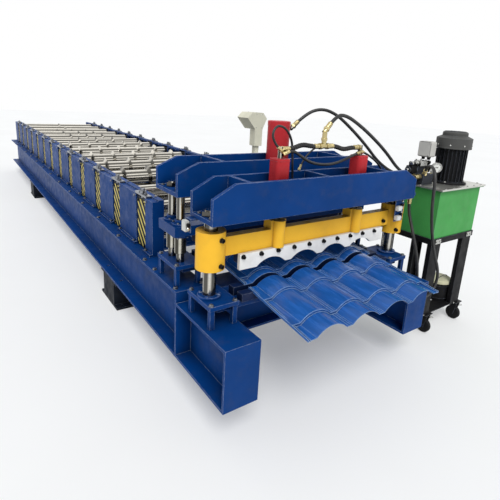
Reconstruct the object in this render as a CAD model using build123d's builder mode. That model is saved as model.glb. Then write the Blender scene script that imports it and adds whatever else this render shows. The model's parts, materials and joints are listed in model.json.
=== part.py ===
from build123d import *
import os
from math import radians, sqrt, tan

# Roll forming machine for glazed roof tile sheet, in millimetres.
# X runs across the machine, Y from the outfeed end to the infeed end and Z up from the floor.

# Frame: two H beams on low blocks, cut down at the outfeed end.
FOOT_HEIGHT = 190
FRAME_LENGTH = 7200
FRAME_HALF_WIDTH = 688
BEAM_HEIGHT = 350
BEAM_WIDTH = 175
BEAM_WEB = 9
BEAM_FLANGE = 12
LOW_END_LENGTH = 455
LOW_END_HEIGHT = 292
END_PLATE = 12
ANCHOR_HOLE = 18
ANCHOR_SPACING = 147
CROSS_MEMBER_YS = (545, 1900, 3295, 4690, 6085, 7080)
CROSS_MEMBER_HEIGHT = 300
CROSS_MEMBER_WIDTH = 150
SUPPORT_YS = (1563, 5067)
SUPPORT_LENGTH = 354
SUPPORT_PLATE = 15
SUPPORT_INSET = 60

# Roll stands: panels on the beams with a gap at each pair of rolls.
STATIONS = 13
FIRST_STATION = 1110
STATION_PITCH = 465
STAND_GAP = 150
STAND_OUTER = 614
STAND_DEPTH = 70
STAND_HEIGHT = 322
STAND_PLATE = 14
STAND_FOOT = 18
STAND_START = 926
STAND_END = 7080
TIE_WIDTH = 34
TIE_THICKNESS = 8
COVER_WIDTH = 125
COVER_THICKNESS = 4
COVER_CLEARANCE = 10
COVER_HEIGHT = 285
BLOCK_DEPTH = 60
BLOCK_SPLIT = 6
BLOCK_TOP_GAP = 14
SCREW_RADIUS = 11
SCREW_RISE = 30
SCREW_NUT = 19
SCREW_HEAD = 16
CAP_THICKNESS = 12

# Rolls
PASS_HEIGHT = 507
ROLL_CENTRES = 165
ROLL_GAP = 2
ROLL_HALF_LENGTH = 528
SHAFT_RADIUS = 35
PLAIN_SHAFT_RADIUS = 38
PLAIN_STATIONS = 2
BEARING_CLEARANCE = 0.8
SHAFT_END_GAP = 4
RIDGE_HALF_WIDTH = 16
ROLL_END_RADIUS = 66
FULL_WAVE_STATIONS = 5
CENTRE_WAVE_STATIONS = 4
DRIVE_SHAFT_END = 664

# Tile sheet: four arches, stepped along its length, leaving downhill.
WAVES = 4
WAVE_PITCH = 207
VALLEY_WIDTH = 38
ARCH_HEIGHT = 34
ARCH_LOSS = 0.8
SHEET_HALF_WIDTH = 440
SHEET_THICKNESS = 1.2
SHEET_FRONT = -197
SHEET_BACK = 880
SHEET_FALL = 0.123
SHEET_HEIGHT_AT_START = 393
TILE_STEP = 195
TILE_RISER = 12
FIRST_STEP = -99

# Guide posts of the cutter and of the step press
POST_X = 617
BASE_TOP = 400
PRESS_BASE_TOP = 458
BASE_PLATE = 20
BASE_INNER = 525
BASE_OUTER = 669
LEG_SIZE = 22
PORTAL_HALF_LENGTH = 668
PORTAL_PLATE = 18
PORTAL_FLOOR = 20
POST_NUT_HEIGHT = 26
POST_NUT_BODY = 21
NUT_RATIO = 1.5
LEG_INSET = 4

# Cutter
CUTTER_POST_Y = 265
CUTTER_POST_RADIUS = 30
CUTTER_FRONT = 166
CUTTER_BACK = 360
CUTTER_BOTTOM = 752
CUTTER_TOP = 920
CUTTER_CHAMFER = 108
CUTTER_CHAMFER_DROP = 57
CUTTER_BASE_FRONT = 162
CUTTER_BASE_BACK = 371
CUTTER_RIB_XS = (-484, -28, 428)
CUT_CYLINDER_X = 268
CUT_CYLINDER_WIDTH = 76
CUT_CYLINDER_TOP = 1000
CUT_ROD_RADIUS = 22
SLEEVE_RADIUS = 65
SLEEVE_BOTTOM = 536
SLEEVE_TOP = 708
SLEEVE_CLEARANCE = 0.8
ROD_CLEARANCE = 1
YOKE_FRONT = 240
YOKE_BACK = 285
YOKE_BOTTOM = 586
YOKE_TOP = 674
BRACKET_RADIUS = 32
BRACKET_CAP = 86
BRACKET_TOP = 716
BRACKET_REACH = 14
CUTTER_STROKE = 97
ROD_RESERVE = 20
BLADE_HALF_LENGTH = 490
BLADE_THICKNESS = 18
BLADE_BOTTOM = 512
HOLDER_BOTTOM = 540
HOLDER_THICKNESS = 34
BLADE_CLEARANCE = 6
DIE_LENGTH = 42
DIE_HALF_LENGTH = 500
BOLSTER_THICKNESS = 30
BOLSTER_MARGIN = 8

# Entry table
ENTRY_TABLE_DROP = 3
ENTRY_TABLE_THICKNESS = 12
ENTRY_GUIDE_GAP = 20
ENTRY_GUIDE_WIDTH = 24
ENTRY_GUIDE_HEIGHT = 30

# Step press
PRESS_POST_YS = (560, 655)
PRESS_POST_RADIUS = 20
PRESS_BUSH_RADIUS = 29
PRESS_BUSH_BOTTOM = 506
PRESS_BUSH_TOP = 676
PRESS_FRONT = 491
PRESS_BACK = 739
PRESS_BOTTOM = 800
PRESS_TOP = 957
PRESS_CHAMFER = 110
PRESS_CHAMFER_DROP = 49
PRESS_BASE_FRONT = 502
PRESS_BASE_BACK = 718
PRESS_RIB_XS = (-418, 418)
PRESS_CENTRE_Y = 622
PRESS_CYLINDER_RADIUS = 62
PRESS_CYLINDER_TOP = 1146
PRESS_ROD_RADIUS = 35
PRESS_PLATE_FRONT = 515
PRESS_PLATE_BACK = 705
PRESS_PLATE_BOTTOM = 600
PRESS_PLATE_TOP = 650
PRESS_DIE_HALF_DEPTH = 45
PRESS_GAP = 48
PRESS_STROKE = 40

# Hydraulic unit, to the right of the cutter
TANK_LEFT = 880
TANK_RIGHT = 1343
TANK_FRONT = 130
TANK_BACK = 500
TANK_BOTTOM = 460
TANK_TOP = 785
TANK_WALL = 5
LID_OVERHANG = 22
LID_THICKNESS = 10
LEG_WIDTH = 100
LEG_DEPTH = 30
LEG_WALL = 5
CASTER_RADIUS = 48
CASTER_WIDTH = 30
CASTER_FORK = 5
CASTER_SHIFT = 40
LEG_BOTTOM = 135
MOTOR_X = 1165
MOTOR_Y = 262
MOTOR_RADIUS = 82
MOTOR_FIN_RADIUS = 92
MOTOR_FINS = 24
MOTOR_FLANGE = 16
FIN_THICKNESS = 4
FIN_ROOT = 6
MOTOR_HEIGHT = 225
COWL_RADIUS = 108
COWL_HEIGHT = 66
COWL_SLOPE = 14
CROWN_HEIGHT = 40
CROWN_RADIUS = 76
CROWN_ROUNDING = 12
TERMINAL_BOX_LEFT = 962
TERMINAL_BOX_DEPTH = 58
TERMINAL_BOX_Y = 335
TERMINAL_BOX_WIDTH = 88
TERMINAL_BOX_BOTTOM = 960
TERMINAL_BOX_TOP = 1058
MANIFOLD_LEFT = 880
MANIFOLD_RIGHT = 985
MANIFOLD_FRONT = 262
MANIFOLD_BACK = 362
MANIFOLD_HEIGHT = 65
VALVE_SIZE = 46
VALVE_LENGTH = 78
COIL_LENGTH = 72
COIL_RADIUS = 20
PIPE_RADIUS = 7
GAUGE_X = 1035
GAUGE_RADIUS = 30
GAUGE_DEPTH = 22
OIL_CAN_X = 1260
OIL_CAN_Y = 250
OIL_CAN_RADIUS = 80
OIL_CAN_HEIGHT = 128
OIL_LID_RADIUS = 86
OIL_LID_HEIGHT = 26

# Hoses: the corners of each route, above the underside of the beams
HOSE_RADIUS = 9
STUB_RADIUS = 12
ELBOW_SIZE = 24
ELBOW_REACH = 29
TEE_HALF_LENGTH = 30
TEE_BRANCH = 14
CORNER_SHARE = 0.45
PRESS_HOSE = [(103, 615, 1125), (166, 594, 1192), (251, 564, 1225), (339, 534, 1200), (430, 502, 1131),
              (548, 463, 1026), (640, 430, 925), (725, 378, 862), (800, 330, 845), (862, 330, 845)]
CUTTER_FEED = [(14, 266, 1138), (72, 270, 1200), (152, 276, 1200), (270, 286, 1152), (400, 296, 1087),
               (545, 305, 1001), (690, 314, 893), (790, 285, 845), (862, 285, 845)]
LEFT_HOSE = [(-250, 265, 1041), (-200, 265, 1041), (-140, 265, 1062), (-80, 265, 1051), (-30, 265, 1051)]
RIGHT_HOSE = [(30, 265, 1051), (78, 265, 1051), (140, 265, 1031), (202, 265, 1041), (250, 265, 1041)]
RETURN_HOSE = [(895, 265, 869), (866, 212, 928), (820, 138, 932), (777, 86, 876), (770, 88, 745),
               (780, 90, 625), (806, 90, 505), (856, 88, 392), (912, 86, 306), (938, 86, 222),
               (902, 87, 140), (815, 88, 116), (740, 90, 164), (718, 93, 260), (712, 108, 385),
               (704, 142, 490), (707, 184, 590), (715, 222, 670), (715, 222, 735)]
PORT_DROP = 18
HOSE_BRACKET_WIDTH = 40

# Control box on the right roll stands
BOX_FRONT = 1680
BOX_RIGHT = 671
BOX_CORNER_RIGHT = 712
BOX_CORNER_LEFT = 516
BOX_TOP = 1150
BOX_TOP_LEFT = 562
BOX_TOP_RIGHT = 672
BOX_CORNER_HEIGHT = 1104
BOX_HEAD_BOTTOM = 1012
BOX_HEAD_DEPTH = 160
BOX_BODY_BOTTOM = 874
BOX_BODY_WIDTH = 75
BOX_POST_SIZE = 40
BOX_POST_BOTTOM = 480

BEAM_X = FRAME_HALF_WIDTH - BEAM_WIDTH / 2
BEAM_TOP = FOOT_HEIGHT + BEAM_HEIGHT
STAND_INNER = STAND_OUTER - STAND_DEPTH
STAND_TOP = BEAM_TOP + STAND_HEIGHT
PASS_Z = FOOT_HEIGHT + PASS_HEIGHT
LOWER_SHAFT_Z = PASS_Z - ROLL_CENTRES / 2
UPPER_SHAFT_Z = PASS_Z + ROLL_CENTRES / 2
STATION_YS = [FIRST_STATION + STATION_PITCH * n for n in range(STATIONS)]
DIE_SEAT = FOOT_HEIGHT + BASE_TOP - BASE_PLATE
PRESS_DIE_SEAT = FOOT_HEIGHT + PRESS_BASE_TOP - BASE_PLATE
BLADE_BACK = YOKE_FRONT
BLADE_FRONT = BLADE_BACK - BLADE_THICKNESS


def up(height):
    """Height above the floor of a height above the underside of the beams."""
    return FOOT_HEIGHT + height


def across(y):
    """Upright plane across the machine at y: X to the right and Z up, facing the outfeed."""
    return Plane.XZ.offset(-y)


def along(x):
    """Upright plane along the machine at x: Y to the right and Z up."""
    return Plane.YZ.offset(x)


def span(side, near, far):
    """Limits in X of what lies between near and far from the centre line, on one side."""
    return (near, far) if side > 0 else (-far, -near)


def bar(x, y, z, mode=Mode.ADD):
    """Rectangular bar between three pairs of limits, in the part that is being built."""
    with Locations(((x[0] + x[1]) / 2, (y[0] + y[1]) / 2, (z[0] + z[1]) / 2)):
        Box(x[1] - x[0], y[1] - y[0], z[1] - z[0], mode=mode)


def upright(x, y, radius, z, mode=Mode.ADD):
    """Upright round bar between two heights, in the part that is being built."""
    with Locations((x, y, (z[0] + z[1]) / 2)):
        Cylinder(radius, z[1] - z[0], mode=mode)


def level(x, y, z, radius, mode=Mode.ADD):
    """Round bar along X between two limits, in the part that is being built."""
    with Locations(Location(((x[0] + x[1]) / 2, y, z), (0, 90, 0))):
        Cylinder(radius, x[1] - x[0], mode=mode)


def footprints(x, limits, z):
    """Rectangles on a level plane, between two limits in X and each pair of limits in Y."""
    with BuildSketch(Plane.XY.offset(z)) as sketch:
        for low, high in limits:
            with Locations(((x[0] + x[1]) / 2, (low + high) / 2)):
                Rectangle(x[1] - x[0], high - low)
    return sketch.sketch


def on_frame(points):
    """Points of a hose route, with their heights measured from the floor."""
    return [Vector(x, y, up(z)) for x, y, z in points]


def corner_radii(points):
    """Bend radius at each inner corner of a route, from its shorter run and its turn."""
    radii = []
    for before, corner, after in zip(points, points[1:], points[2:]):
        arriving = corner - before
        leaving = after - corner
        half_turn = radians(arriving.get_angle(leaving)) / 2
        radii.append(CORNER_SHARE * min(arriving.length, leaving.length) / tan(half_turn))
    return radii


def hose(route, name):
    """Hydraulic hose: a round tube of straight runs and tangent arcs through a route's corners."""
    points = on_frame(route)
    radii = corner_radii(points)
    with BuildPart() as tube:
        with BuildLine() as line:
            FilletPolyline(*points, radius=radii)
        with BuildSketch(Plane(origin=points[0], z_dir=points[1] - points[0])) as section:
            Circle(HOSE_RADIUS)
        sweep(section.sketch, path=line.line)
    save(tube.part, name)
    print(name, "length", round(line.wires()[0].length), "bends", [round(radius) for radius in radii])


def hose_stub(end, inward, length):
    """Fitting that meets a hose's end face to face, in the part that is being built."""
    tip, next_point = on_frame([end, inward])
    with Locations(Plane(origin=tip, z_dir=tip - next_point).location):
        Cylinder(STUB_RADIUS, length, align=(Align.CENTER, Align.CENTER, Align.MIN))


def save(part, name):
    """Labels a finished piece and writes its STEP file."""
    part.label = name
    export_step(part, f"parts/{name}.step")
    print(name, len(part.solids()), "solids", round(part.volume / 1e6, 2), "litres")


def h_section(centre, bottom, height):
    """Cross section of a rolled H beam, in the sketch that is being built."""
    pocket = (BEAM_WIDTH - BEAM_WEB) / 2
    middle = bottom + height / 2
    with Locations((centre, middle)):
        Rectangle(BEAM_WIDTH, height)
    offset_x = (BEAM_WEB + pocket) / 2
    with Locations((centre - offset_x, middle), (centre + offset_x, middle)):
        Rectangle(pocket, height - 2 * BEAM_FLANGE, mode=Mode.SUBTRACT)


def frame_beam(side, name):
    """Long H beam with its cut down end, end plate, step plate and anchor holes over the blocks."""
    x = side * BEAM_X
    edges = (x - BEAM_WIDTH / 2, x + BEAM_WIDTH / 2)
    with BuildPart() as beam:
        with BuildSketch(across(LOW_END_LENGTH)):
            h_section(x, FOOT_HEIGHT, BEAM_HEIGHT)
        extrude(amount=-(FRAME_LENGTH - LOW_END_LENGTH))
        with BuildSketch(across(END_PLATE)):
            h_section(x, FOOT_HEIGHT, LOW_END_HEIGHT)
        extrude(amount=-(LOW_END_LENGTH - END_PLATE))
        bar(edges, (0, END_PLATE), (FOOT_HEIGHT, up(LOW_END_HEIGHT)))
        bar(edges, (LOW_END_LENGTH, LOW_END_LENGTH + END_PLATE), (FOOT_HEIGHT, BEAM_TOP))
        for y in SUPPORT_YS:
            for offset_x in (-BEAM_WIDTH / 4, BEAM_WIDTH / 4):
                for offset_y in (-ANCHOR_SPACING, ANCHOR_SPACING):
                    hole = (FOOT_HEIGHT, FOOT_HEIGHT + BEAM_FLANGE)
                    upright(x + offset_x, y + offset_y, ANCHOR_HOLE / 2, hole, Mode.SUBTRACT)
    save(beam.part, name)


def cross_members():
    """H beams between the webs of the two long beams."""
    reach = BEAM_X - BEAM_WEB / 2
    bottom = FOOT_HEIGHT + BEAM_FLANGE
    with BuildPart() as members:
        for y in CROSS_MEMBER_YS:
            pocket = (CROSS_MEMBER_WIDTH - BEAM_WEB) / 2
            middle = bottom + CROSS_MEMBER_HEIGHT / 2
            with BuildSketch(along(-reach)):
                with Locations((y, middle)):
                    Rectangle(CROSS_MEMBER_WIDTH, CROSS_MEMBER_HEIGHT)
                shift = (BEAM_WEB + pocket) / 2
                with Locations((y - shift, middle), (y + shift, middle)):
                    Rectangle(pocket, CROSS_MEMBER_HEIGHT - 2 * BEAM_FLANGE, mode=Mode.SUBTRACT)
            extrude(amount=2 * reach)
    save(members.part, "cross_members")


def support_blocks():
    """Low welded blocks between the beams and the floor."""
    with BuildPart() as blocks:
        for side in (-1, 1):
            x = side * BEAM_X
            for y in SUPPORT_YS:
                half_x = BEAM_WIDTH / 2
                half_y = SUPPORT_LENGTH / 2
                for low in (0, FOOT_HEIGHT - SUPPORT_PLATE):
                    bar((x - half_x, x + half_x), (y - half_y, y + half_y), (low, low + SUPPORT_PLATE))
                body_y = (y - half_y + SUPPORT_INSET, y + half_y - SUPPORT_INSET)
                bar((x - half_x, x + half_x), body_y, (SUPPORT_PLATE, FOOT_HEIGHT - SUPPORT_PLATE))
                for offset_x in (-BEAM_WIDTH / 4, BEAM_WIDTH / 4):
                    for offset_y in (-ANCHOR_SPACING, ANCHOR_SPACING):
                        hole = (0, FOOT_HEIGHT)
                        upright(x + offset_x, y + offset_y, ANCHOR_HOLE / 2, hole, Mode.SUBTRACT)
    save(blocks.part, "support_blocks")


def panel_spans():
    """Limits along Y of each side panel between the roll stations."""
    starts = [STAND_START] + [y + STAND_GAP / 2 for y in STATION_YS]
    ends = [y - STAND_GAP / 2 for y in STATION_YS] + [STAND_END]
    return list(zip(starts, ends))


def side_panels(side, name):
    """Box panels open to the inside, joined along their inner top edge by a tie strip."""
    spans = panel_spans()
    pockets = [(low + STAND_PLATE, high - STAND_PLATE) for low, high in spans]
    with BuildPart() as panels:
        extrude(footprints(span(side, STAND_INNER, STAND_OUTER), spans, BEAM_TOP), amount=STAND_HEIGHT)
        pocket_x = span(side, STAND_INNER, STAND_OUTER - STAND_PLATE)
        extrude(footprints(pocket_x, pockets, BEAM_TOP + STAND_PLATE),
                amount=STAND_HEIGHT - 2 * STAND_PLATE, mode=Mode.SUBTRACT)
        foot_x = span(side, STAND_OUTER, STAND_OUTER + STAND_FOOT)
        extrude(footprints(foot_x, spans, BEAM_TOP), amount=STAND_PLATE)
        tie_x = span(side, STAND_INNER, STAND_INNER + TIE_WIDTH)
        bar(tie_x, (STAND_START, STAND_END), (STAND_TOP, STAND_TOP + TIE_THICKNESS))
    save(panels.part, name)


def bearing_blocks(side, name):
    """Lower and upper bearing housings, guided between the panels at each station."""
    x = side * (STAND_INNER + BLOCK_DEPTH / 2)
    half_split = BLOCK_SPLIT / 2
    rows = ((BEAM_TOP, PASS_Z - half_split, LOWER_SHAFT_Z),
            (PASS_Z + half_split, STAND_TOP - BLOCK_TOP_GAP, UPPER_SHAFT_Z))
    with BuildPart() as blocks:
        for low, high, shaft_z in rows:
            with Locations(*[(x, y, (low + high) / 2) for y in STATION_YS]):
                Box(BLOCK_DEPTH, STAND_GAP, high - low)
            with Locations(*[Location((x, y, shaft_z), (0, 90, 0)) for y in STATION_YS]):
                Cylinder(SHAFT_RADIUS + BEARING_CLEARANCE, BLOCK_DEPTH, mode=Mode.SUBTRACT)
    save(blocks.part, name)


def striped_covers():
    """Cover strips on the housings' outer faces; on the drive side they let the lower shafts through."""
    inner = STAND_INNER + BLOCK_DEPTH
    bottom = BEAM_TOP + COVER_CLEARANCE
    half = COVER_WIDTH / 2
    with BuildPart() as covers:
        for side in (-1, 1):
            cover_x = span(side, inner, inner + COVER_THICKNESS)
            for y in STATION_YS:
                bar(cover_x, (y - half, y + half), (bottom, bottom + COVER_HEIGHT))
                if side > 0:
                    level(cover_x, y, LOWER_SHAFT_Z, SHAFT_RADIUS + BEARING_CLEARANCE, Mode.SUBTRACT)
    save(covers.part, "striped_covers")


def adjusting_screws():
    """Caps across the gaps, each with a screw that holds the upper housing down and its nut."""
    screw_foot = STAND_TOP - BLOCK_TOP_GAP
    cap_top = STAND_TOP + CAP_THICKNESS
    reach = STAND_GAP / 2 + STAND_PLATE
    inner = STAND_INNER + TIE_WIDTH
    screw_x = (inner + STAND_OUTER) / 2
    with BuildPart() as screws:
        for side in (-1, 1):
            for y in STATION_YS:
                bar(span(side, inner, STAND_OUTER), (y - reach, y + reach), (STAND_TOP, cap_top))
                upright(side * screw_x, y, SCREW_RADIUS, (screw_foot, cap_top + SCREW_RISE))
                with BuildSketch(Plane.XY.offset(cap_top)):
                    with Locations((side * screw_x, y)):
                        RegularPolygon(SCREW_NUT, 6)
                extrude(amount=SCREW_HEAD)
    save(screws.part, "adjusting_screws")


def ridge_places(station):
    """Valleys that a station's rolls have on the right of the centre, which is formed first."""
    if station < PLAIN_STATIONS:
        return []
    if station < PLAIN_STATIONS + FULL_WAVE_STATIONS:
        return [0, WAVE_PITCH, 2 * WAVE_PITCH]
    if station < PLAIN_STATIONS + FULL_WAVE_STATIONS + CENTRE_WAVE_STATIONS:
        return [0, WAVE_PITCH]
    return [0]


def wave_depth(station):
    """Depth to which a station's rolls bend the sheet, full at the outfeed end."""
    return ARCH_HEIGHT * (1 - ARCH_LOSS * (station - PLAIN_STATIONS) / (STATIONS - PLAIN_STATIONS))


def half_roll(station, sign):
    """Outline of the right half of a roll: sign 1 has ridges at the valleys, sign -1 has grooves."""
    if station < PLAIN_STATIONS:
        return [(ROLL_HALF_LENGTH, PLAIN_SHAFT_RADIUS)]
    mean = (ROLL_CENTRES - ROLL_GAP) / 2
    body = mean - sign * wave_depth(station) / 2
    valley = mean + sign * wave_depth(station) / 2
    edge = WAVES * WAVE_PITCH / 2
    outline = []
    for place in ridge_places(station):
        if place > 0:
            outline.append((place - RIDGE_HALF_WIDTH, body))
        outline.append((place, valley))
        if place < edge or sign > 0:
            outline.append((place + RIDGE_HALF_WIDTH, body))
    if sign < 0 and outline[-1][1] == body:
        outline += [(edge, body), (edge, ROLL_END_RADIUS)]
    outline.append((ROLL_HALF_LENGTH, outline[-1][1]))
    return outline


def turned_roll(station, z, sign, ends):
    """Roll and shaft turned about X between two shaft ends, in the part that is being built."""
    y = STATION_YS[station]
    right = half_roll(station, sign)
    left = [(-x, radius) for x, radius in reversed(right) if x > 0]
    shaft_left = [(ends[0], 0), (ends[0], SHAFT_RADIUS), (-ROLL_HALF_LENGTH, SHAFT_RADIUS)]
    shaft_right = [(ROLL_HALF_LENGTH, SHAFT_RADIUS), (ends[1], SHAFT_RADIUS), (ends[1], 0)]
    with BuildSketch(across(y)) as profile:
        with BuildLine():
            Polyline(*[(x, z + r) for x, r in shaft_left + left + right + shaft_right], close=True)
        make_face()
    revolve(profile.sketch, axis=Axis((0, y, z), (1, 0, 0)))


def lower_rolls():
    """The fixed set of lower rolls; their shafts reach out to the sprockets on the drive side."""
    near_end = -(STAND_INNER + BLOCK_DEPTH - SHAFT_END_GAP)
    with BuildPart() as rolls:
        for station in range(STATIONS):
            turned_roll(station, LOWER_SHAFT_Z, -1, (near_end, DRIVE_SHAFT_END))
    save(rolls.part, "lower_rolls")


def upper_rolls():
    """Each upper roll is a part of its own that turns in its housings."""
    end = STAND_INNER + BLOCK_DEPTH - SHAFT_END_GAP
    for station in range(STATIONS):
        with BuildPart() as roll:
            turned_roll(station, UPPER_SHAFT_Z, 1, (-end, end))
        save(roll.part, f"upper_roll_{station + 1:02d}")


def wave_line(z):
    """Line over the four arches from left to right, in the line that is being built."""
    half_chord = (WAVE_PITCH - VALLEY_WIDTH) / 2
    x = -SHEET_HALF_WIDTH
    for wave in range(WAVES):
        centre = WAVE_PITCH * (wave - (WAVES - 1) / 2)
        Line((x, z), (centre - half_chord, z))
        foot = (centre + half_chord, z)
        ThreePointArc((centre - half_chord, z), (centre, z + ARCH_HEIGHT), foot)
        x = centre + half_chord
    Line((x, z), (SHEET_HALF_WIDTH, z))


def sheet_height(y):
    """Height of the sheet's valleys above the floor at y, on its mean line."""
    return up(SHEET_HEIGHT_AT_START + SHEET_FALL * y)


def sheet_sections(low, high):
    """Start, end, and start height of each tile section between two places along Y."""
    rise = SHEET_FALL - TILE_RISER / TILE_STEP
    sections = []
    step = FIRST_STEP - TILE_STEP
    while step < high:
        start = max(low, step)
        end = min(high, step + TILE_STEP)
        if end - start > 1:
            z = sheet_height(step) + TILE_RISER / 2 + rise * (start - step)
            sections.append((start, end, z, z + rise * (end - start)))
        step += TILE_STEP
    return sections


def wave_ribbon(y, low, high, length, lift):
    """Solid between two wave lines at y, pushed along Y by a length while it rises by lift."""
    with BuildSketch(across(y)) as ribbon:
        with BuildLine():
            wave_line(low)
            wave_line(high)
            Line((-SHEET_HALF_WIDTH, low), (-SHEET_HALF_WIDTH, high))
            Line((SHEET_HALF_WIDTH, low), (SHEET_HALF_WIDTH, high))
        make_face()
    reach = sqrt(length**2 + lift**2)
    extrude(ribbon.sketch, amount=reach, dir=(0, length / reach, lift / reach))


def tile_sheet():
    """Formed sheet in its two lengths, before and behind the kerf that the blade has just cut."""
    kerf_front = BLADE_FRONT - BLADE_CLEARANCE
    kerf_back = BLADE_BACK + BLADE_CLEARANCE
    with BuildPart() as sheet:
        for low, high in ((SHEET_FRONT, kerf_front), (kerf_back, SHEET_BACK)):
            previous = None
            for start, end, z_start, z_end in sheet_sections(low, high):
                wave_ribbon(start, z_start, z_start + SHEET_THICKNESS, end - start, z_end - z_start)
                if previous is not None:
                    bottom = min(previous, z_start)
                    top = max(previous, z_start) + SHEET_THICKNESS
                    wave_ribbon(start, bottom, top, SHEET_THICKNESS, 0)
                previous = z_end
    save(sheet.part, "tile_sheet")


def die_block(y, length, z_bottom, half_length):
    """Lower die whose top follows the underside of the sheet, in the part that is being built."""
    crest = min(z for start, end, z0, z1 in sheet_sections(y, y + length) for z in (z0, z1))
    with BuildSketch(across(y)) as profile:
        with BuildLine():
            wave_line(crest)
            Polyline((SHEET_HALF_WIDTH, crest), (half_length, crest), (half_length, z_bottom),
                     (-half_length, z_bottom), (-half_length, crest), (-SHEET_HALF_WIDTH, crest))
        make_face()
    extrude(profile.sketch, amount=-length)


def lower_blades():
    """Two scalloped dies under the sheet, with a slot between them for the moving blade."""
    with BuildPart() as blades:
        die_block(BLADE_FRONT - BLADE_CLEARANCE - DIE_LENGTH, DIE_LENGTH, DIE_SEAT, DIE_HALF_LENGTH)
        die_block(BLADE_BACK + BLADE_CLEARANCE, DIE_LENGTH, DIE_SEAT, DIE_HALF_LENGTH)
    save(blades.part, "lower_blades")


def portal_base(front, back, beam_top, base_top, name):
    """Base plate under the posts of each side, on square legs."""
    plate_bottom = up(base_top - BASE_PLATE)
    with BuildPart() as base:
        for side in (-1, 1):
            bar(span(side, BASE_INNER, BASE_OUTER), (front, back), (plate_bottom, up(base_top)))
            for near in (BASE_INNER + LEG_INSET, BASE_OUTER - LEG_SIZE - LEG_INSET):
                for y in (front + LEG_INSET, back - LEG_SIZE - LEG_INSET):
                    leg_x = span(side, near, near + LEG_SIZE)
                    bar(leg_x, (y, y + LEG_SIZE), (beam_top, plate_bottom))
    save(base.part, name)


def portal_posts(post_ys, radius, base_top, top, name):
    """Polished guide posts between a base plate and a portal beam, with a nut above the beam."""
    foot = up(base_top)
    floor_top = up(top + PORTAL_FLOOR)
    with BuildPart() as posts:
        for side in (-1, 1):
            for y in post_ys:
                upright(side * POST_X, y, radius, (foot, floor_top + POST_NUT_HEIGHT))
                with BuildSketch(Plane.XY.offset(floor_top)):
                    with Locations((side * POST_X, y)):
                        RegularPolygon(radius * NUT_RATIO, 6)
                extrude(amount=POST_NUT_BODY)
    save(posts.part, name)


def portal_beam(front, back, bottom, top, chamfer, drop, ribs, holes):
    """Fixed beam over the posts: two upright plates with cut corners, a floor plate and ribs."""
    reach = PORTAL_HALF_LENGTH
    outline = [(-reach, up(bottom)), (reach, up(bottom)), (reach, up(top - drop))]
    outline += [(reach - chamfer, up(top)), (-reach + chamfer, up(top)), (-reach, up(top - drop))]
    inner = (front + PORTAL_PLATE, back - PORTAL_PLATE)
    with BuildPart() as beam:
        for y in (front, back - PORTAL_PLATE):
            with BuildSketch(across(y)):
                with BuildLine():
                    Polyline(*outline, close=True)
                make_face()
            extrude(amount=-PORTAL_PLATE)
        bar((-reach, reach), inner, (up(bottom), up(bottom + PORTAL_FLOOR)))
        for x in ribs:
            half = PORTAL_PLATE / 2
            bar((x - half, x + half), inner, (up(bottom + PORTAL_FLOOR), up(top)))
        for x, y, radius in holes:
            upright(x, y, radius, (up(bottom), up(bottom + PORTAL_FLOOR)), Mode.SUBTRACT)
    return beam.part


def cutter_beam():
    """Cutter's fixed beam, with a bracket at its right end where the return hose meets it."""
    y = CUTTER_POST_Y
    holes = [(side * POST_X, y, CUTTER_POST_RADIUS) for side in (-1, 1)]
    holes += [(side * CUT_CYLINDER_X, y, CUT_ROD_RADIUS + ROD_CLEARANCE) for side in (-1, 1)]
    end_x, end_y, end_z = RETURN_HOSE[-1]
    half = HOSE_BRACKET_WIDTH / 2
    with BuildPart() as beam:
        add(portal_beam(CUTTER_FRONT, CUTTER_BACK, CUTTER_BOTTOM, CUTTER_TOP, CUTTER_CHAMFER,
                        CUTTER_CHAMFER_DROP, CUTTER_RIB_XS, holes))
        bar((PORTAL_HALF_LENGTH, end_x + half), (end_y - half, end_y + half),
            (up(CUTTER_BOTTOM), up(CUTTER_BOTTOM) + PORTAL_FLOOR))
        hose_stub(RETURN_HOSE[-1], RETURN_HOSE[-2], CUTTER_BOTTOM - end_z)
    save(beam.part, "cutter_beam")


def press_beam():
    """Fixed beam of the step press."""
    holes = [(side * POST_X, y, PRESS_POST_RADIUS) for side in (-1, 1) for y in PRESS_POST_YS]
    holes.append((0, PRESS_CENTRE_Y, PRESS_ROD_RADIUS + ROD_CLEARANCE))
    beam = portal_beam(PRESS_FRONT, PRESS_BACK, PRESS_BOTTOM, PRESS_TOP, PRESS_CHAMFER,
                       PRESS_CHAMFER_DROP, PRESS_RIB_XS, holes)
    save(beam, "press_beam")


def cutter_cylinders():
    """Two square hydraulic cylinders with a blind bore for the rod and an elbow on top."""
    bottom = up(CUTTER_BOTTOM + PORTAL_FLOOR)
    top = up(CUT_CYLINDER_TOP)
    bore_top = bottom + CUTTER_STROKE + 2 * ROD_RESERVE
    with BuildPart() as cylinders:
        for side, route in ((-1, LEFT_HOSE), (1, RIGHT_HOSE[::-1])):
            x = side * CUT_CYLINDER_X
            with BuildSketch(Plane.XY.offset(bottom)):
                with Locations((x, CUTTER_POST_Y)):
                    RectangleRounded(CUT_CYLINDER_WIDTH, CUT_CYLINDER_WIDTH, CUT_CYLINDER_WIDTH / 4)
            extrude(amount=top - bottom)
            upright(x, CUTTER_POST_Y, CUT_ROD_RADIUS + ROD_CLEARANCE, (bottom, bore_top), Mode.SUBTRACT)
            upright(x, CUTTER_POST_Y, ELBOW_SIZE / 2, (top, up(route[0][2]) + ELBOW_SIZE / 2))
            hose_stub(route[0], route[1], abs(x - route[0][0]))
    save(cylinders.part, "cutter_cylinders")


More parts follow.
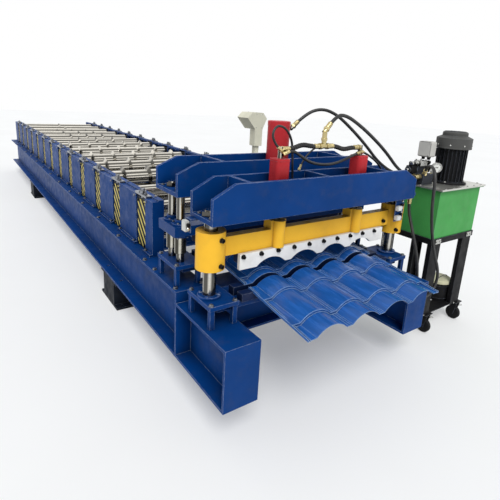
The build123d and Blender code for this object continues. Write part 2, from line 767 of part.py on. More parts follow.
def hose_tee():
    """Tee between the two cutter cylinders' hoses, with an angled branch for their feed."""
    height = LEFT_HOSE[-1][2]
    feed_x, feed_y, feed_z = CUTTER_FEED[0]
    with BuildPart() as tee:
        level((-TEE_HALF_LENGTH, TEE_HALF_LENGTH), CUTTER_POST_Y, up(height), STUB_RADIUS)
        upright(0, CUTTER_POST_Y, STUB_RADIUS, (up(height), up(feed_z) - TEE_BRANCH))
        hose_stub(CUTTER_FEED[0], CUTTER_FEED[1], ELBOW_REACH)
    save(tee.part, "hose_tee")


def cutter_yoke():
    """Moving frame of the cutter: a sleeve on each post, the yoke between them and two brackets."""
    with BuildPart() as yoke:
        bar((-POST_X, POST_X), (YOKE_FRONT, YOKE_BACK), (up(YOKE_BOTTOM), up(YOKE_TOP)))
        for side in (-1, 1):
            sleeve_z = (up(SLEEVE_BOTTOM), up(SLEEVE_TOP))
            upright(side * POST_X, CUTTER_POST_Y, SLEEVE_RADIUS, sleeve_z)
            bore = CUTTER_POST_RADIUS + SLEEVE_CLEARANCE
            upright(side * POST_X, CUTTER_POST_Y, bore, sleeve_z, Mode.SUBTRACT)
            bracket_x = side * CUT_CYLINDER_X
            bracket_z = (up(YOKE_BOTTOM), up(BRACKET_TOP))
            upright(bracket_x, YOKE_FRONT, BRACKET_RADIUS, bracket_z)
            cap_x = (bracket_x - BRACKET_CAP / 2, bracket_x + BRACKET_CAP / 2)
            bar(cap_x, (YOKE_FRONT, YOKE_BACK + BRACKET_REACH), (up(YOKE_TOP), up(BRACKET_TOP)))
    save(yoke.part, "cutter_yoke")


def cutter_rods():
    """Piston rods from the yoke's brackets up into the cylinders."""
    top = up(CUTTER_BOTTOM + PORTAL_FLOOR + CUTTER_STROKE + ROD_RESERVE)
    with BuildPart() as rods:
        for side in (-1, 1):
            upright(side * CUT_CYLINDER_X, CUTTER_POST_Y, CUT_ROD_RADIUS, (up(BRACKET_TOP), top))
    save(rods.part, "cutter_rods")


def scalloped_plate(y, thickness, bottom, top, half_length, name):
    """Plate whose lower edge follows the arches of the sheet."""
    with BuildPart() as plate:
        with BuildSketch(across(y)):
            with BuildLine():
                wave_line(bottom)
                Polyline((SHEET_HALF_WIDTH, bottom), (half_length, bottom), (half_length, top),
                         (-half_length, top), (-half_length, bottom), (-SHEET_HALF_WIDTH, bottom))
            make_face()
        extrude(amount=-thickness)
    save(plate.part, name)


def press_slide():
    """Moving plate of the step press with a guide bush round each post and the rod above it."""
    plate_z = (up(PRESS_PLATE_BOTTOM), up(PRESS_PLATE_TOP))
    reach = PORTAL_HALF_LENGTH
    with BuildPart() as plate:
        bar((-reach, reach), (PRESS_PLATE_FRONT, PRESS_PLATE_BACK), plate_z)
        for side in (-1, 1):
            for y in PRESS_POST_YS:
                bush_z = (up(PRESS_BUSH_BOTTOM), up(PRESS_BUSH_TOP))
                upright(side * POST_X, y, PRESS_BUSH_RADIUS, bush_z)
                bore = PRESS_POST_RADIUS + SLEEVE_CLEARANCE
                upright(side * POST_X, y, bore, bush_z, Mode.SUBTRACT)
    save(plate.part, "press_plate")
    with BuildPart() as rod:
        rod_top = up(PRESS_BOTTOM + PORTAL_FLOOR + PRESS_STROKE + ROD_RESERVE)
        upright(0, PRESS_CENTRE_Y, PRESS_ROD_RADIUS, (plate_z[1], rod_top))
    save(rod.part, "press_rod")


def press_dies():
    """Upper stepping die under the moving plate and the lower die under the sheet."""
    front = PRESS_CENTRE_Y - PRESS_DIE_HALF_DEPTH
    back = PRESS_CENTRE_Y + PRESS_DIE_HALF_DEPTH
    crest = max(z for start, end, z0, z1 in sheet_sections(front, back) for z in (z0, z1))
    scalloped_plate(front, back - front, crest + PRESS_GAP, up(PRESS_PLATE_BOTTOM),
                    DIE_HALF_LENGTH, "press_upper_die")
    with BuildPart() as lower:
        die_block(front, back - front, PRESS_DIE_SEAT, DIE_HALF_LENGTH)
    save(lower.part, "press_lower_die")


def bolsters():
    """Flat bars under the dies, let in below the base plates of each pair of posts."""
    reach = POST_X
    with BuildPart() as bars:
        for front, back, top in ((CUTTER_BASE_FRONT, CUTTER_BASE_BACK, DIE_SEAT),
                                 (PRESS_BASE_FRONT, PRESS_BASE_BACK, PRESS_DIE_SEAT)):
            y = (front + LEG_SIZE + BOLSTER_MARGIN, back - LEG_SIZE - BOLSTER_MARGIN)
            bar((-reach, reach), y, (top - BOLSTER_THICKNESS, top))
    save(bars.part, "die_bolsters")


def press_cylinder():
    """Round hydraulic cylinder with a blind bore for its rod and an angled fitting near its top."""
    bottom = up(PRESS_BOTTOM + PORTAL_FLOOR)
    bore_top = bottom + PRESS_STROKE + 2 * ROD_RESERVE
    tip_x, tip_y, tip_z = PRESS_HOSE[0]
    port_z = up(tip_z - PORT_DROP)
    with BuildPart() as cylinder:
        upright(0, PRESS_CENTRE_Y, PRESS_CYLINDER_RADIUS, (bottom, up(PRESS_CYLINDER_TOP)))
        upright(0, PRESS_CENTRE_Y, PRESS_ROD_RADIUS + ROD_CLEARANCE, (bottom, bore_top), Mode.SUBTRACT)
        level((0, tip_x - STUB_RADIUS), PRESS_CENTRE_Y, port_z, STUB_RADIUS)
        hose_stub(PRESS_HOSE[0], PRESS_HOSE[1], ELBOW_REACH)
    save(cylinder.part, "press_cylinder")


def entry_table():
    """Guide table at the infeed end, between the last panels."""
    top = PASS_Z - ENTRY_TABLE_DROP
    low = STATION_YS[-1] + STAND_GAP
    with BuildPart() as table:
        bar((-STAND_INNER, STAND_INNER), (low, STAND_END), (top - ENTRY_TABLE_THICKNESS, top))
        for side in (-1, 1):
            guide = SHEET_HALF_WIDTH + ENTRY_GUIDE_GAP
            bar(span(side, guide, guide + ENTRY_GUIDE_WIDTH), (low, STAND_END),
                (top, top + ENTRY_GUIDE_HEIGHT))
    save(table.part, "entry_table")


def hydraulic_tank():
    """Open tank box with its lid as a separate plate."""
    x = (TANK_LEFT, TANK_RIGHT)
    y = (TANK_FRONT, TANK_BACK)
    with BuildPart() as tank:
        bar(x, y, (up(TANK_BOTTOM), up(TANK_TOP)))
        inner_x = (x[0] + TANK_WALL, x[1] - TANK_WALL)
        inner_y = (y[0] + TANK_WALL, y[1] - TANK_WALL)
        bar(inner_x, inner_y, (up(TANK_BOTTOM) + TANK_WALL, up(TANK_TOP)), Mode.SUBTRACT)
    save(tank.part, "tank")
    with BuildPart() as lid:
        lid_x = (x[0] - LID_OVERHANG, x[1] + LID_OVERHANG)
        lid_y = (y[0] - LID_OVERHANG, y[1] + LID_OVERHANG)
        bar(lid_x, lid_y, (up(TANK_TOP), up(TANK_TOP) + LID_THICKNESS))
    save(lid.part, "tank_lid")


def leg_places():
    """Limits in X and Y of the four legs, with the side of each that its channel is open to."""
    places = []
    for x in ((TANK_LEFT, TANK_LEFT + LEG_WIDTH), (TANK_RIGHT - LEG_WIDTH, TANK_RIGHT)):
        places.append((x, (TANK_FRONT, TANK_FRONT + LEG_DEPTH), 1))
        places.append((x, (TANK_BACK - LEG_DEPTH, TANK_BACK), -1))
    return places


def unit_legs():
    """Channel legs under the tank, open to the inside, with a ring of flat bars at the bottom."""
    with BuildPart() as legs:
        for x, y, opening in leg_places():
            bar(x, y, (LEG_BOTTOM, up(TANK_BOTTOM)))
            shift = opening * LEG_WALL
            bar((x[0] + LEG_WALL, x[1] - LEG_WALL), (y[0] + shift, y[1] + shift),
                (LEG_BOTTOM + LEG_WALL, up(TANK_BOTTOM)), Mode.SUBTRACT)
        ring_z = (LEG_BOTTOM, LEG_BOTTOM + LEG_WALL)
        for y in ((TANK_FRONT, TANK_FRONT + LEG_WIDTH), (TANK_BACK - LEG_WIDTH, TANK_BACK)):
            bar((TANK_LEFT, TANK_RIGHT), y, ring_z)
        for x in ((TANK_LEFT, TANK_LEFT + LEG_WIDTH), (TANK_RIGHT - LEG_WIDTH, TANK_RIGHT)):
            bar(x, (TANK_FRONT, TANK_BACK), ring_z)
    save(legs.part, "unit_legs")


def casters():
    """Four casters, each a wheel with rounded tread in a fork under a mounting plate."""
    half = CASTER_WIDTH / 2
    outer = half + CASTER_FORK
    with BuildPart() as wheels:
        for leg_x, leg_y, opening in leg_places():
            x = (leg_x[0] + leg_x[1]) / 2 + CASTER_SHIFT
            y = (leg_y[0] + leg_y[1]) / 2
            with BuildSketch(Plane.XY) as profile:
                with Locations((x, y + CASTER_RADIUS / 2)):
                    Rectangle(CASTER_WIDTH, CASTER_RADIUS)
                treads = profile.vertices().group_by(Axis.Y)[-1]
                fillet(treads, CASTER_WIDTH / 4)
            axle = Axis((x, y, 0), (1, 0, 0))
            tread = revolve(profile.sketch, axis=axle, mode=Mode.PRIVATE)
            add(tread.moved(Location((0, 0, CASTER_RADIUS))))
            for cheek in ((x - outer, x - half), (x + half, x + outer)):
                with BuildSketch(along(cheek[0])) as fork:
                    with BuildLine():
                        Polyline((y - CASTER_FORK * 2, CASTER_RADIUS - CASTER_FORK * 2),
                                 (y + CASTER_FORK * 2, CASTER_RADIUS - CASTER_FORK * 2),
                                 (y + CASTER_WIDTH, LEG_BOTTOM), (y - CASTER_WIDTH, LEG_BOTTOM), close=True)
                    make_face()
                extrude(fork.sketch, amount=CASTER_FORK)
            bar((x - 2 * outer, x + 2 * outer), (y - CASTER_WIDTH, y + CASTER_WIDTH),
                (LEG_BOTTOM - CASTER_FORK, LEG_BOTTOM))
    save(wheels.part, "casters")


def pump_motor():
    """Upright motor with cooling fins on the tank lid, and a cast pad for its terminal box."""
    bottom = up(TANK_TOP) + LID_THICKNESS
    top = bottom + MOTOR_HEIGHT
    fin_depth = MOTOR_FIN_RADIUS - MOTOR_RADIUS + FIN_ROOT
    pad_width = TERMINAL_BOX_WIDTH / 2
    with BuildPart() as motor:
        upright(MOTOR_X, MOTOR_Y, MOTOR_FIN_RADIUS, (bottom, bottom + MOTOR_FLANGE))
        upright(MOTOR_X, MOTOR_Y, MOTOR_RADIUS, (bottom, top))
        with BuildSketch(Plane.XY.offset(bottom + MOTOR_FLANGE)):
            with Locations((MOTOR_X, MOTOR_Y)):
                with PolarLocations(MOTOR_FIN_RADIUS - fin_depth / 2, MOTOR_FINS):
                    Rectangle(fin_depth, FIN_THICKNESS)
        extrude(amount=MOTOR_HEIGHT - MOTOR_FLANGE)
        pad_y = (TERMINAL_BOX_Y - pad_width, MOTOR_Y + pad_width)
        pad_z = (up(TERMINAL_BOX_BOTTOM) + FIN_ROOT, top)
        bar((TERMINAL_BOX_LEFT + TERMINAL_BOX_DEPTH, MOTOR_X), pad_y, pad_z)
    save(motor.part, "pump_motor")


def terminal_box():
    """Flat box with rounded edges on the motor's pad."""
    x = TERMINAL_BOX_LEFT
    with BuildPart() as box:
        with BuildSketch(along(x)) as face:
            with Locations((TERMINAL_BOX_Y, up((TERMINAL_BOX_BOTTOM + TERMINAL_BOX_TOP) / 2))):
                RectangleRounded(TERMINAL_BOX_WIDTH, TERMINAL_BOX_TOP - TERMINAL_BOX_BOTTOM, 2 * FIN_ROOT)
        extrude(face.sketch, amount=TERMINAL_BOX_DEPTH)
        chamfer(box.faces().sort_by(Axis.X)[0].edges(), FIN_ROOT)
    save(box.part, "terminal_box")


def fan_cowl():
    """Round cowl over the motor's fan: an upright ring, a slope inward and a rounded crown."""
    low = up(TANK_TOP) + LID_THICKNESS + MOTOR_HEIGHT
    rim = low + COWL_HEIGHT
    step = rim + COWL_SLOPE
    crown = rim + CROWN_HEIGHT
    with BuildPart() as cowl:
        with BuildSketch(across(MOTOR_Y)) as profile:
            with BuildLine():
                Polyline((MOTOR_X, low), (MOTOR_X + COWL_RADIUS, low), (MOTOR_X + COWL_RADIUS, rim),
                         (MOTOR_X + CROWN_RADIUS, step), (MOTOR_X + CROWN_RADIUS, crown),
                         (MOTOR_X, crown), close=True)
            make_face()
        revolve(profile.sketch, axis=Axis((MOTOR_X, MOTOR_Y, 0), (0, 0, 1)))
        fillet(cowl.faces().sort_by(Axis.Z)[-1].edges(), CROWN_ROUNDING)
    save(cowl.part, "fan_cowl")


def valve_block():
    """Manifold on the tank lid with a solenoid valve, three hose ports and a pressure gauge."""
    bottom = up(TANK_TOP) + LID_THICKNESS
    top = bottom + MANIFOLD_HEIGHT
    middle_x = (MANIFOLD_LEFT + MANIFOLD_RIGHT) / 2
    valve_y = MANIFOLD_BACK - VALVE_SIZE / 2
    valve_z = top + VALVE_SIZE / 2
    reach = VALVE_LENGTH / 2 + COIL_LENGTH
    pipe_y = MANIFOLD_FRONT + 2 * PIPE_RADIUS
    pipe_z = top - 3 * PIPE_RADIUS
    gauge_z = top + GAUGE_RADIUS + PIPE_RADIUS
    with BuildPart() as block:
        bar((MANIFOLD_LEFT, MANIFOLD_RIGHT), (MANIFOLD_FRONT, MANIFOLD_BACK), (bottom, top))
        bar((middle_x - VALVE_LENGTH / 2, middle_x + VALVE_LENGTH / 2),
            (valve_y - VALVE_SIZE / 2, valve_y + VALVE_SIZE / 2), (top, top + VALVE_SIZE))
        level((middle_x - reach, middle_x + reach), valve_y, valve_z, COIL_RADIUS)
        for route in (PRESS_HOSE, CUTTER_FEED):
            hose_stub(route[-1], route[-2], MANIFOLD_LEFT - route[-1][0])
        hose_stub(RETURN_HOSE[0], RETURN_HOSE[1], 2 * STUB_RADIUS + FIN_ROOT)
        level((MANIFOLD_RIGHT, GAUGE_X + PIPE_RADIUS), pipe_y, pipe_z, PIPE_RADIUS)
        upright(GAUGE_X, pipe_y, PIPE_RADIUS, (pipe_z, gauge_z))
        with Locations(Plane(origin=(GAUGE_X, pipe_y, gauge_z), z_dir=(-1, -1, 0)).location):
            Cylinder(GAUGE_RADIUS, GAUGE_DEPTH)
    save(block.part, "valve_block")


def oil_can():
    """Round can with a domed lid, on the bars below the tank."""
    bottom = LEG_BOTTOM + LEG_WALL
    shoulder = bottom + OIL_CAN_HEIGHT
    with BuildPart() as can:
        upright(OIL_CAN_X, OIL_CAN_Y, OIL_CAN_RADIUS, (bottom, shoulder))
        upright(OIL_CAN_X, OIL_CAN_Y, OIL_LID_RADIUS, (shoulder, shoulder + OIL_LID_HEIGHT))
        fillet(can.faces().sort_by(Axis.Z)[-1].edges(), OIL_LID_HEIGHT / 2)
    save(can.part, "oil_can")


def control_box():
    """Console with a bevelled head on a narrow body, on a post against the right hand panels."""
    body_left = BOX_RIGHT - BOX_BODY_WIDTH
    outline = [(BOX_TOP_LEFT, BOX_TOP), (BOX_TOP_RIGHT, BOX_TOP), (BOX_CORNER_RIGHT, BOX_CORNER_HEIGHT),
               (BOX_RIGHT, BOX_HEAD_BOTTOM), (body_left, BOX_HEAD_BOTTOM),
               (BOX_CORNER_LEFT, BOX_CORNER_HEIGHT)]
    with BuildPart() as console:
        with BuildSketch(across(BOX_FRONT)) as face:
            with BuildLine():
                Polyline(*[(x, up(z)) for x, z in outline], close=True)
            make_face()
        extrude(face.sketch, amount=-BOX_HEAD_DEPTH)
        body_y = (BOX_FRONT, BOX_FRONT + BOX_BODY_WIDTH)
        bar((body_left, BOX_RIGHT), body_y, (up(BOX_BODY_BOTTOM), up(BOX_HEAD_BOTTOM)))
        post_y = BOX_FRONT + BOX_BODY_WIDTH / 2
        bar((STAND_OUTER, STAND_OUTER + BOX_POST_SIZE),
            (post_y - BOX_POST_SIZE / 2, post_y + BOX_POST_SIZE / 2),
            (up(BOX_POST_BOTTOM), up(BOX_BODY_BOTTOM)))
    save(console.part, "control_box")


os.makedirs("parts", exist_ok=True)

frame_beam(-1, "left_beam")
frame_beam(1, "right_beam")
cross_members()
support_blocks()
side_panels(-1, "left_side_panels")
side_panels(1, "right_side_panels")
bearing_blocks(-1, "left_bearing_blocks")
bearing_blocks(1, "right_bearing_blocks")
striped_covers()
adjusting_screws()
lower_rolls()
upper_rolls()
tile_sheet()
portal_base(CUTTER_BASE_FRONT, CUTTER_BASE_BACK, up(LOW_END_HEIGHT), BASE_TOP, "cutter_base")
portal_posts((CUTTER_POST_Y,), CUTTER_POST_RADIUS, BASE_TOP, CUTTER_BOTTOM, "cutter_posts")
cutter_beam()
cutter_cylinders()
hose_tee()
lower_blades()
cutter_yoke()
cutter_rods()
scalloped_plate(BLADE_FRONT, BLADE_THICKNESS, up(BLADE_BOTTOM), up(YOKE_BOTTOM), BLADE_HALF_LENGTH,
                "upper_blade")
scalloped_plate(YOKE_FRONT, HOLDER_THICKNESS, up(HOLDER_BOTTOM), up(YOKE_BOTTOM), BLADE_HALF_LENGTH,
                "blade_holder")
bolsters()
portal_base(PRESS_BASE_FRONT, PRESS_BASE_BACK, BEAM_TOP, PRESS_BASE_TOP, "press_base")
portal_posts(PRESS_POST_YS, PRESS_POST_RADIUS, PRESS_BASE_TOP, PRESS_BOTTOM, "press_posts")
press_beam()
press_slide()
press_dies()
press_cylinder()
entry_table()
hydraulic_tank()
unit_legs()
casters()
pump_motor()
terminal_box()
fan_cowl()
valve_block()
oil_can()
control_box()
hose(PRESS_HOSE, "hose_press")
hose(CUTTER_FEED, "hose_cutter_feed")
hose(LEFT_HOSE, "hose_left_cylinder")
hose(RIGHT_HOSE, "hose_right_cylinder")
hose(RETURN_HOSE, "hose_return")
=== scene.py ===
import json
from math import cos, pi, radians, sin

import bmesh
import bpy
from mathutils import Matrix, Vector


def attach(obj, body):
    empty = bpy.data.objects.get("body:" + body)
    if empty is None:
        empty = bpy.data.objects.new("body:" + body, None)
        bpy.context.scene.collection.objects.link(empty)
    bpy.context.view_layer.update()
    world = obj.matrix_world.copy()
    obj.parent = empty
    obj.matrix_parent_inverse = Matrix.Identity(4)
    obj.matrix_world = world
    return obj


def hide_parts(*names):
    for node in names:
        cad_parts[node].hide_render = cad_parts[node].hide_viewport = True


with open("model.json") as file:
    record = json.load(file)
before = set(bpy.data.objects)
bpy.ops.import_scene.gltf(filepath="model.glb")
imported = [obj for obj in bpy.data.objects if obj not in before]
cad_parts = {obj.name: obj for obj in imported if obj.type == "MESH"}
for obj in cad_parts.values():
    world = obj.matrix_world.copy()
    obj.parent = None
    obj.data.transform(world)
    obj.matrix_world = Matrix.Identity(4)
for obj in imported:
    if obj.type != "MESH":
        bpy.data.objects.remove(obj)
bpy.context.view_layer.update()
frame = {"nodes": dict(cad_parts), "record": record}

UP = Vector((0, 0, 1))
DOWN = Vector((0, 0, -1))
FRONT = Vector((0, -1, 0))
BACK = Vector((0, 1, 0))
LEFT = Vector((-1, 0, 0))
RIGHT = Vector((1, 0, 0))


# Camera, solved from the photograph's three vanishing points.

CAMERA_PLACE = (-1.4584, -1.1945, 1.439)
CAMERA_RIGHT = (0.81862, -0.57173, 0.05463)
CAMERA_UP = (0.10209, 0.23846, 0.96577)
CAMERA_BACK = (-0.56519, -0.78502, 0.25358)
CAMERA_LENS = 29.81
CAMERA_SENSOR = 36.0
CAMERA_SHIFT = (-0.0044, -0.0824)


def add_object(name, data):
    made = bpy.data.objects.new(name, data)
    bpy.context.scene.collection.objects.link(made)
    return made


def make_camera():
    data = bpy.data.cameras.new("camera")
    data.lens = CAMERA_LENS
    data.sensor_width = CAMERA_SENSOR
    data.shift_x = CAMERA_SHIFT[0]
    data.shift_y = CAMERA_SHIFT[1]
    data.clip_end = 60
    camera = add_object("camera", data)
    turn = Matrix((CAMERA_RIGHT, CAMERA_UP, CAMERA_BACK)).transposed()
    camera.matrix_world = Matrix.Translation(CAMERA_PLACE) @ turn.to_4x4()
    bpy.context.scene.camera = camera


# Node helpers


def feed(tree, node, inputs):
    """A node's inputs, given as values or as sockets to link."""
    for key, value in inputs.items():
        if isinstance(value, bpy.types.NodeSocket):
            tree.links.new(value, node.inputs[key])
        else:
            node.inputs[key].default_value = value


def add_node(tree, kind, inputs=None, **settings):
    node = tree.nodes.new(kind)
    for key, value in settings.items():
        setattr(node, key, value)
    feed(tree, node, inputs or {})
    return node


def linear(red, green, blue):
    """Linear colour of an sRGB one given from 0 to 255."""
    values = []
    for level in (red, green, blue):
        level /= 255
        values.append(level / 12.92 if level <= 0.04045 else ((level + 0.055) / 1.055) ** 2.4)
    return (*values, 1.0)


def shade(colour, factor):
    """The colour made lighter or darker."""
    return (*[min(1.0, channel * factor) for channel in colour[:3]], 1.0)


def noise(tree, place, scale, detail, roughness=0.55):
    node = add_node(tree, "ShaderNodeTexNoise",
                    {"Vector": place, "Scale": scale, "Detail": detail, "Roughness": roughness})
    return node.outputs["Fac"]


def ramp(tree, value, low, high, to_low=0.0, to_high=1.0):
    """Value mapped from one range to another, held at its ends."""
    node = add_node(tree, "ShaderNodeMapRange",
                    {"Value": value, "From Min": low, "From Max": high, "To Min": to_low, "To Max": to_high})
    return node.outputs["Result"]


def blend(tree, factor, first, second):
    """Colour mixed from two colours."""
    return add_node(tree, "ShaderNodeMix", {0: factor, 6: first, 7: second}, data_type="RGBA").outputs[2]


def compute(tree, operation, first, second=0.0, third=0.0):
    node = add_node(tree, "ShaderNodeMath", {0: first, 1: second, 2: third}, operation=operation)
    return node.outputs[0]


def start_material(name):
    """New node material, with its tree, shader and object coordinates."""
    material = bpy.data.materials.new(name)
    material.use_nodes = True
    tree = material.node_tree
    place = add_node(tree, "ShaderNodeTexCoord").outputs["Object"]
    return material, tree, tree.nodes["Principled BSDF"], place


def flat_normal(tree):
    return add_node(tree, "ShaderNodeNewGeometry").outputs["Normal"]


def soft_normal(tree, radius):
    """Normal softened over the edges."""
    return add_node(tree, "ShaderNodeBevel", {"Radius": radius}, samples=4).outputs["Normal"]


def dot_product(tree, first, second):
    node = add_node(tree, "ShaderNodeVectorMath", {0: first, 1: second}, operation="DOT_PRODUCT")
    return node.outputs["Value"]


def edge_share(tree, soft):
    """How much the softened normal differs from the flat one."""
    return compute(tree, "SUBTRACT", 1.0, dot_product(tree, soft, flat_normal(tree)))


def bump(tree, height, strength, distance, normal=None):
    inputs = {"Height": height, "Strength": strength, "Distance": distance}
    if normal is not None:
        inputs["Normal"] = normal
    return add_node(tree, "ShaderNodeBump", inputs).outputs["Normal"]


def crevice_shade_mask(tree, distance):
    """One on open faces, less where other faces stand close by; the mask for painted shade in corners and
    gaps.
    """
    node = add_node(tree, "ShaderNodeAmbientOcclusion", {"Distance": distance}, samples=6)
    return ramp(tree, node.outputs["AO"], 0.15, 0.8)


def painted_reflection_bands(tree, direction, turns, phase):
    """Painted reflection: light and dark bands by the way a face turns, standing in for polished metal
    mirroring a dim hall.
    """
    facing = dot_product(tree, flat_normal(tree), direction)
    wave = compute(tree, "SINE", compute(tree, "MULTIPLY_ADD", facing, turns, phase))
    return ramp(tree, wave, -0.3, 0.95)


def coordinates(tree, place):
    """The three coordinates of a place as values."""
    return add_node(tree, "ShaderNodeSeparateXYZ", {"Vector": place}).outputs


# Materials


EDGE_WEAR_AND_HIGHLIGHT = linear(196, 208, 226)
DUST = linear(96, 92, 84)
ENAMEL_SPECULAR = 0.1
METAL_EDGE = 0.0012
# How near other faces must stand to paint shade into enamel, bare metal, the rolls and the sheet, in metres.
ENAMEL_SHADE_REACH = 0.14
METAL_SHADE_REACH = 0.07
ROLL_SHADE_REACH = 0.12
SHEET_SHADE_REACH = 0.05


def painted_metal(name, colour, roughness=0.4, edge_wear_and_highlight=0.25, grime=0.3, edge_radius=0.003,
                  edge_colour=EDGE_WEAR_AND_HIGHLIGHT):
    """Enamel with uneven tone, dust, scuffs, pale edges that are partly wear and partly a painted highlight,
    and painted shade in corners.
    """
    material, tree, shader, place = start_material(name)
    tone = ramp(tree, noise(tree, place, 2.2, 4), 0.35, 0.65)
    paint = blend(tree, tone, shade(colour, 0.84), shade(colour, 1.1))
    dust = ramp(tree, noise(tree, place, 11, 8, 0.65), 0.52, 0.78, 0.0, grime)
    dusty = blend(tree, dust, paint, blend(tree, 0.55, shade(colour, 0.4), DUST))
    soft = soft_normal(tree, edge_radius)
    chips = ramp(tree, noise(tree, place, 42, 5, 0.6), 0.36, 0.58, 0.25, 1.0)
    # Pale edges: partly scuffed wear, partly a painted highlight where edges catch the light.
    worn_and_highlit_edges = compute(tree, "MULTIPLY", ramp(tree, edge_share(tree, soft), 0.02, 0.16, 0.0, edge_wear_and_highlight), chips)
    # Painted shade in corners and gaps where other faces stand close.
    with_crevice_shade = blend(tree, crevice_shade_mask(tree, ENAMEL_SHADE_REACH), shade(colour, 0.3), dusty)
    feed(tree, shader, {
        "Base Color": blend(tree, worn_and_highlit_edges, with_crevice_shade, edge_colour),
        "Roughness": ramp(tree, noise(tree, place, 17, 6, 0.6), 0.3, 0.72, roughness * 0.75, roughness * 1.5),
        "Specular IOR Level": ENAMEL_SPECULAR,
        "Normal": bump(tree, noise(tree, place, 260, 2), 0.12, 0.0006, soft),
    })
    return material


def bare_metal(name, colour, roughness, stain, grain=(1, 1, 1), grain_scale=160, grain_depth=0.15, reflection_pattern=None,
               shade_reach=METAL_SHADE_REACH):
    """Machined or plated metal with directional marks, faint stains, painted reflection bands where given,
    and painted shade in crevices.
    """
    material, tree, shader, place = start_material(name)
    mapped = add_node(tree, "ShaderNodeMapping", {"Vector": place, "Scale": grain}).outputs["Vector"]
    marks = noise(tree, mapped, grain_scale, 4, 0.6)
    blotch = ramp(tree, noise(tree, place, 6, 6, 0.62), 0.42, 0.75, 0.0, stain)
    metal = blend(tree, ramp(tree, marks, 0.3, 0.7), shade(colour, 0.88), shade(colour, 1.05))
    stains_and_painted_reflection = blend(tree, blotch, metal, shade(colour, 0.45))
    if reflection_pattern:
        # Painted reflection: dark bands by the way each face turns.
        stains_and_painted_reflection = blend(tree, painted_reflection_bands(tree, *reflection_pattern), shade(colour, 0.14), stains_and_painted_reflection)
    # Painted shade in crevices where other faces stand close.
    with_crevice_shade = blend(tree, crevice_shade_mask(tree, shade_reach), shade(colour, 0.1), stains_and_painted_reflection)
    fine = ramp(tree, marks, 0.3, 0.7, roughness * 0.7, roughness * 1.4)
    feed(tree, shader, {
        "Base Color": with_crevice_shade,
        "Metallic": 1.0,
        "Roughness": compute(tree, "MULTIPLY_ADD", blotch, 0.35, fine),
        "Normal": bump(tree, marks, grain_depth, 0.0004, soft_normal(tree, METAL_EDGE)),
    })
    return material


def reopen(material):
    """Tree, shader, object coordinates and base colour of an enamel that another paint goes over."""
    tree = material.node_tree
    shader = tree.nodes["Principled BSDF"]
    place = add_node(tree, "ShaderNodeTexCoord").outputs["Object"]
    return tree, shader, place, shader.inputs["Base Color"].links[0].from_socket


# Painted reflection bands: direction across the view, turns of the pattern and its phase, for upright and for
# level bars.
POST_REFLECTION_BANDS = ((0.82, -0.57, 0), 5.5, 1.0)
ROLL_REFLECTION_BANDS = ((0, -0.2, 0.98), 24.0, -22.6)


def plated_beyond(name, colour, axis, limit, operation="GREATER_THAN"):
    """Enamel, and plated steel with painted reflection bands beyond a limit along one axis."""
    material = painted_metal(name, colour, roughness=0.28, grime=0.25)
    tree, shader, place, paint = reopen(material)
    fitting = compute(tree, operation, coordinates(tree, place)[axis], limit)
    bright = blend(tree, ramp(tree, noise(tree, place, 40, 4), 0.3, 0.7), linear(196, 192, 178),
                   linear(224, 220, 208))
    # Painted reflection: dark bands on the plating by the way each face turns.
    plating_and_painted_reflection = blend(tree, painted_reflection_bands(tree, *POST_REFLECTION_BANDS), linear(70, 68, 62), bright)
    feed(tree, shader, {"Base Color": blend(tree, fitting, paint, plating_and_painted_reflection), "Metallic": fitting})
    return material


def two_tones(name, colour, upper, height):
    """Enamel that changes to another colour above a height."""
    material = painted_metal(name, colour)
    tree, shader, place, paint = reopen(material)
    above = compute(tree, "GREATER_THAN", coordinates(tree, place)["Z"], height)
    second = blend(tree, ramp(tree, noise(tree, place, 18, 5), 0.35, 0.7), shade(upper, 0.85), upper)
    feed(tree, shader, {"Base Color": blend(tree, above, paint, second)})
    return material


# Height of one pair of stripes in metres, and the shares of it where yellow turns to black.
STRIPE_PITCH = 0.06
STRIPE_EDGE = (0.30, 0.34)


def striped_paint(name):
    """Diagonal hazard stripes, black and faded yellow, with scuffs."""
    material = painted_metal(name, linear(232, 214, 118), roughness=0.45, edge_wear_and_highlight=0.2, grime=0.45)
    tree, shader, place, yellow = reopen(material)
    axes = coordinates(tree, place)
    slant = compute(tree, "SUBTRACT", axes["Z"], axes["Y"])
    wobble = compute(tree, "MULTIPLY_ADD", noise(tree, place, 30, 2), 0.004, slant)
    saw = compute(tree, "FRACT", compute(tree, "MULTIPLY", wobble, 1 / STRIPE_PITCH))
    stripe = ramp(tree, saw, *STRIPE_EDGE)
    black = blend(tree, ramp(tree, noise(tree, place, 24, 5), 0.4, 0.75), linear(15, 15, 17),
                  linear(58, 55, 48))
    feed(tree, shader, {"Base Color": blend(tree, stripe, yellow, black)})
    return material


